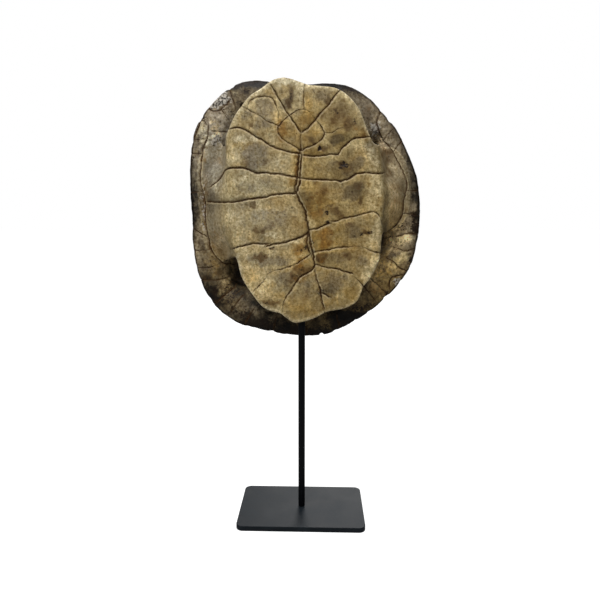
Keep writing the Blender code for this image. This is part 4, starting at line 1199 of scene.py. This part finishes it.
def edged(nodes, on, colour):
    """The belly's pale border, partly paler bone and partly painted highlight, with a thin painted
    highlight on its rounded edge, and painted shade along the rim's outer edge.
    """
    to_plate_edge, to_rim_edge = nodes.attribute("edges")[:2]
    # The pale border is partly paler bone, partly painted highlight on the rounded edge
    border = nodes.times(nodes.less(nodes.step(to_plate_edge, *PALE_BORDER_AND_HIGHLIGHT)), on.belly, on.off_bridge)
    colour = nodes.mix(nodes.times(border, nodes.between(on.mottle, *BORDER_STRENGTH)), colour, PALE_PATCH)
    # A thin painted highlight right along the belly's edge
    thin = nodes.less(nodes.step(to_plate_edge, *WHITE_HIGHLIGHT_BORDER))
    colour = nodes.mix(nodes.times(thin, on.off_bridge, on.belly, WHITE_HIGHLIGHT_SHARE), colour, WHITE_EDGE_HIGHLIGHT)
    # Painted shade along the rim's outer edge
    outermost = nodes.times(nodes.less(nodes.step(to_rim_edge, *RIM_SHADE_BORDER)), on.rim)
    return nodes.mix(nodes.broken(outermost, on.fray, *RIM_EDGE_SHADE_FRAY), colour, RIM_EDGE_SHADE)


def washed(nodes, on, colour):
    """Broad painted light and shade, partly the bone's own tone, and warmth; dark blotches of grime and
    painted shade where the rim's wash paints shade; and the fine grain.
    """
    # light is painted light and shade in stops, partly the bone's own tone
    light, warmth = nodes.attribute("washes")[:2]
    colour = nodes.mix(warmth, colour, nodes.tinted(colour, WARM_TINT), kept_within=False)
    # Dark blotches of grime and painted shade, more where the wash paints shade
    grime_and_shade = nodes.math("MULTIPLY_ADD", light, GRIME_BY_PAINTED_SHADE, nodes.noise(*GRIME_AND_SHADE_NOISE, nodes.shifted(5.0)))
    grime_and_shade = nodes.times(nodes.step(grime_and_shade, *GRIME_AND_SHADE_FROM), on.rim, GRIME_AND_SHADE_SHARE)
    colour = nodes.mix(grime_and_shade, colour, RIM_GRIME_AND_SHADE)
    colour = nodes.tinted(colour, nodes.mix(on.grain, GRAIN_DARK, GRAIN_PALE))
    # Brightened or darkened by the washes' painted light and shade, in stops
    return nodes.shade(colour, nodes.times(nodes.between(on.streaks, *STREAK_LIGHT),
                                           nodes.between(on.mottle, *PATCH_LIGHT),
                                           nodes.math("POWER", 2.0, light)))


def pore_mask(nodes, on):
    """Small dark pores in some fields, and larger pits where the bone is stained."""
    fields = nodes.step(nodes.noise(*PORE_FIELDS), *PORE_FIELD)
    dirty = nodes.highest(on.brown, on.rust, on.grey, nodes.times(on.rim, RIM_DIRT))
    return nodes.highest(nodes.times(nodes.spots(PORES, PORE_SIZE), fields, PORE_SHARE),
                         nodes.times(nodes.spots(PITS, PIT_SIZE), dirty, PIT_SHARE))


def spotted(nodes, on, colour):
    """Dark spots and stains, on the rim partly painted shade, and the patches of white and black flecks."""
    ragged = nodes.spread(nodes.noise(*RAGGED), RAGGED_CONTRAST)
    colour = nodes.mix(nodes.broken(on.dark, ragged, *DARK_FRAY), colour, DARK_STAIN_AND_SHADE)
    fleck = nodes.mix(nodes.spread(on.grain, SOFT_CONTRAST), FLECK_BLACK, FLECK_WHITE)
    return nodes.mix(nodes.broken(on.flecks, on.fray, *FLECK_FRAY), colour, fleck)


def seam_masks(nodes, group, shake, grain, uneven):
    """One group's seams: the dark line, the brown halo, partly painted shade above the line, the painted
    highlight on the lip below, and the groove.
    """
    signed, distance, half_width = nodes.attribute("seam_" + group)
    half_width = nodes.times(half_width, nodes.between(uneven, *SEAM_WIDTH_SHARES))
    shaken = nodes.math("MULTIPLY_ADD", nodes.math("SUBTRACT", shake, 0.5), SEAM_SHAKE, signed)
    across = nodes.math("ABSOLUTE", shaken)
    line_to = nodes.times(half_width, nodes.between(grain, *LINE_TO))
    line_end = nodes.times(half_width, nodes.between(grain, *LINE_END))
    line = nodes.times(nodes.less(nodes.step(across, line_to, line_end)),
                       nodes.less(nodes.step(distance, *LINE_REACH)))
    strong = nodes.step(half_width, *STRONG_SEAM)
    # The halo reaches further above the line than below: partly staining, partly painted shade on the
    # groove's upper side
    halo = nodes.times(nodes.less(nodes.step(shaken, *HALO_ABOVE)), nodes.step(shaken, *HALO_BELOW), strong)
    # Painted highlight on the lip below the line
    below = nodes.math("SUBTRACT", nodes.times(shaken, -1.0), half_width)
    lip_highlight = nodes.times(nodes.step(below, *HIGHLIGHT_LIP_START), nodes.less(nodes.step(below, *HIGHLIGHT_LIP_FADE)), strong)
    groove_end = nodes.math("MULTIPLY_ADD", half_width, GROOVE_WIDTH, GROOVE_EXTRA)
    return line, halo, lip_highlight, nodes.less(nodes.step(across, 0.0, groove_end))


def seamed(nodes, on, colour):
    """The colour with its seams drawn, and the masks of their lines and grooves."""
    shake = nodes.noise(*SHAKE)
    uneven = nodes.spread(nodes.noise(*UNEVEN), SOFT_CONTRAST)
    groups = [seam_masks(nodes, group, shake, on.grain, uneven) for group in BELLY_SEAMS]
    line, halo, lip_highlight, groove = (nodes.highest(*masks) for masks in zip(*groups))
    colour = nodes.mix(nodes.times(halo, nodes.between(on.mottle, *HALO_STRENGTH)), colour, SEAM_HALO_AND_SHADE)
    # The lip's painted highlight, on the belly only
    lip_highlight = nodes.times(lip_highlight, on.belly, nodes.between(on.grain, *HIGHLIGHT_LIP_STRENGTH))
    colour = nodes.mix(lip_highlight, colour, SEAM_LIP_HIGHLIGHT)
    colour = nodes.mix(nodes.times(line, nodes.between(uneven, *LINE_STRENGTH)), colour, SEAM_DARK)
    return colour, line, groove


def bone_material():
    """Bare, varnished bone: satin, a little rougher in the seams, with pores and fine streaks."""
    nodes = Nodes("bare_bone")
    on = bone_pattern(nodes)
    colour = edged(nodes, on, stained(nodes, on, bare_colour(nodes, on)))
    # The inside is painted dark as shade
    colour = washed(nodes, on, nodes.mix(on.inside, colour, INSIDE_PAINTED_SHADE))
    pores = pore_mask(nodes, on)
    colour = spotted(nodes, on, nodes.mix(pores, colour, SEAM_DARK))
    colour, line, groove = seamed(nodes, on, colour)
    roughness = nodes.between(on.mottle, *BONE_ROUGHNESS)
    height = nodes.math("MULTIPLY_ADD", on.streaks, STREAK_HEIGHT, nodes.times(on.grain, GRAIN_HEIGHT))
    height = nodes.math("MULTIPLY_ADD", on.mottle, PATCH_HEIGHT, height)
    fine = nodes.bump(nodes.math("SUBTRACT", height, pores), *FINE_BUMP)
    return nodes.finish(Base_Color=colour, Specular_IOR_Level=BONE_SPECULAR,
                        Roughness=nodes.math("MULTIPLY_ADD", line, SEAM_ROUGHNESS, roughness),
                        Coat_Weight=VARNISH, Coat_Roughness=VARNISH_ROUGHNESS,
                        Normal=nodes.bump(nodes.less(groove), *SEAM_BUMP, fine))


# ---------------------------------------------------------------- the stand's material
ROD_COAT, ROD_ROUGHNESS, ROD_DUST = (0.0008, 0.0012, 0.0024), 0.42, 0.2
PLATE_COAT, PLATE_ROUGHNESS, PLATE_DUST = (0.0105, 0.0145, 0.0185), 0.46, 0.5
WORN_STEEL = (0.06, 0.062, 0.066)
STEEL_SPECULAR = 0.2
COAT_TEXTURE, COAT_PATCHES = (1400.0, 2.0, 0.5), (35.0, 5.0, 0.6)
COAT_BUMP = (0.00008, 0.6)
DUST_FROM, DUST_GAIN, DUST_LIFT = (0.42, 0.75), 2.0, 0.003
ROUGHNESS_BELOW, ROUGHNESS_ABOVE = 0.08, 0.1
WORN_SPOTS, WORN_SPOT_SIZE, WORN_SHARE = 260.0, (0.05, 0.12), 0.3
WORN_FIELDS, WORN_FROM = 60.0, (0.55, 0.7)


def black_steel(name, colour, roughness, dust):
    """Satin black powder coat: fine texture, faint dust and a few worn spots."""
    nodes = Nodes(name)
    patches = nodes.noise(*COAT_PATCHES)
    dusty = tuple(part * DUST_GAIN + DUST_LIFT for part in colour)
    base = nodes.mix(nodes.times(nodes.step(patches, *DUST_FROM), dust), colour, dusty)
    fields = nodes.step(nodes.noise(WORN_FIELDS), *WORN_FROM)
    worn = nodes.times(nodes.spots(WORN_SPOTS, WORN_SPOT_SIZE), fields)
    base = nodes.mix(nodes.times(worn, WORN_SHARE), base, WORN_STEEL)
    texture = nodes.bump(nodes.noise(*COAT_TEXTURE), *COAT_BUMP)
    uneven = nodes.between(patches, roughness - ROUGHNESS_BELOW, roughness + ROUGHNESS_ABOVE)
    return nodes.finish(Base_Color=base, Roughness=uneven,
                        Specular_IOR_Level=STEEL_SPECULAR, Normal=texture)


def coat(node, material):
    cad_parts[node].data.materials.clear()
    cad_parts[node].data.materials.append(material)


# ---------------------------------------------------------------- stage, light and camera
def make_floor():
    nodes = Nodes("studio_floor")
    seen = nodes.add("LightPath", {}, "Is Camera Ray")
    nodes.finish(Base_Color=(FLOOR_ALBEDO,) * 3, Roughness=0.9, Emission_Color=(1.0, 1.0, 1.0),
                 Emission_Strength=nodes.times(seen, FLOOR_GLOW))
    bm = bmesh.new()
    bmesh.ops.create_grid(bm, x_segments=1, y_segments=1, size=FLOOR_HALF_SIZE)
    mesh = bpy.data.meshes.new("studio_floor")
    bm.to_mesh(mesh)
    bm.free()
    mesh.materials.append(nodes.material)
    floor = bpy.data.objects.new("studio_floor", mesh)
    bpy.context.scene.collection.objects.link(floor)


def make_world():
    """White where the camera sees it, and a weak even light elsewhere."""
    world = bpy.data.worlds.new("studio")
    bpy.context.scene.world = world
    world.use_nodes = True
    tree = world.node_tree
    tree.nodes.clear()
    out = tree.nodes.new("ShaderNodeOutputWorld")
    choose = tree.nodes.new("ShaderNodeMixShader")
    path = tree.nodes.new("ShaderNodeLightPath")
    tree.links.new(path.outputs["Is Camera Ray"], choose.inputs[0])
    for slot, strength in ((1, WORLD_LIGHT), (2, 1.0)):
        background = tree.nodes.new("ShaderNodeBackground")
        background.inputs["Color"].default_value = (1.0, 1.0, 1.0, 1.0)
        background.inputs["Strength"].default_value = strength
        tree.links.new(background.outputs[0], choose.inputs[slot])
    tree.links.new(choose.outputs[0], out.inputs[0])


def add_area_light(name, place, target, size, power):
    light = bpy.data.lights.new(name, "AREA")
    light.shape = "DISK"
    light.size = size
    light.energy = power
    lamp = bpy.data.objects.new(name, light)
    bpy.context.scene.collection.objects.link(lamp)
    lamp.location = place
    aim = Vector(target) - Vector(place)
    lamp.rotation_euler = aim.to_track_quat("-Z", "Y").to_euler()


def make_camera():
    camera_data = bpy.data.cameras.new("camera")
    camera_data.sensor_width = SENSOR_WIDTH
    camera_data.lens = FOCAL_PIXELS / PHOTO_SIDE * SENSOR_WIDTH
    camera = bpy.data.objects.new("camera", camera_data)
    bpy.context.scene.collection.objects.link(camera)
    camera.location = CAMERA_PLACE
    camera.rotation_euler = (math.radians(90 - CAMERA_PITCH_DOWN), 0, math.radians(CAMERA_TURN))
    bpy.context.scene.camera = camera


make_shell(bone_material())
coat("rod", black_steel("black_rod_coat", ROD_COAT, ROD_ROUGHNESS, ROD_DUST))
coat("base", black_steel("black_plate_coat", PLATE_COAT, PLATE_ROUGHNESS, PLATE_DUST))
make_floor()
make_world()
for light in LIGHTS:
    add_area_light(*light)
make_camera()
bpy.context.scene.view_settings.view_transform = "Standard"
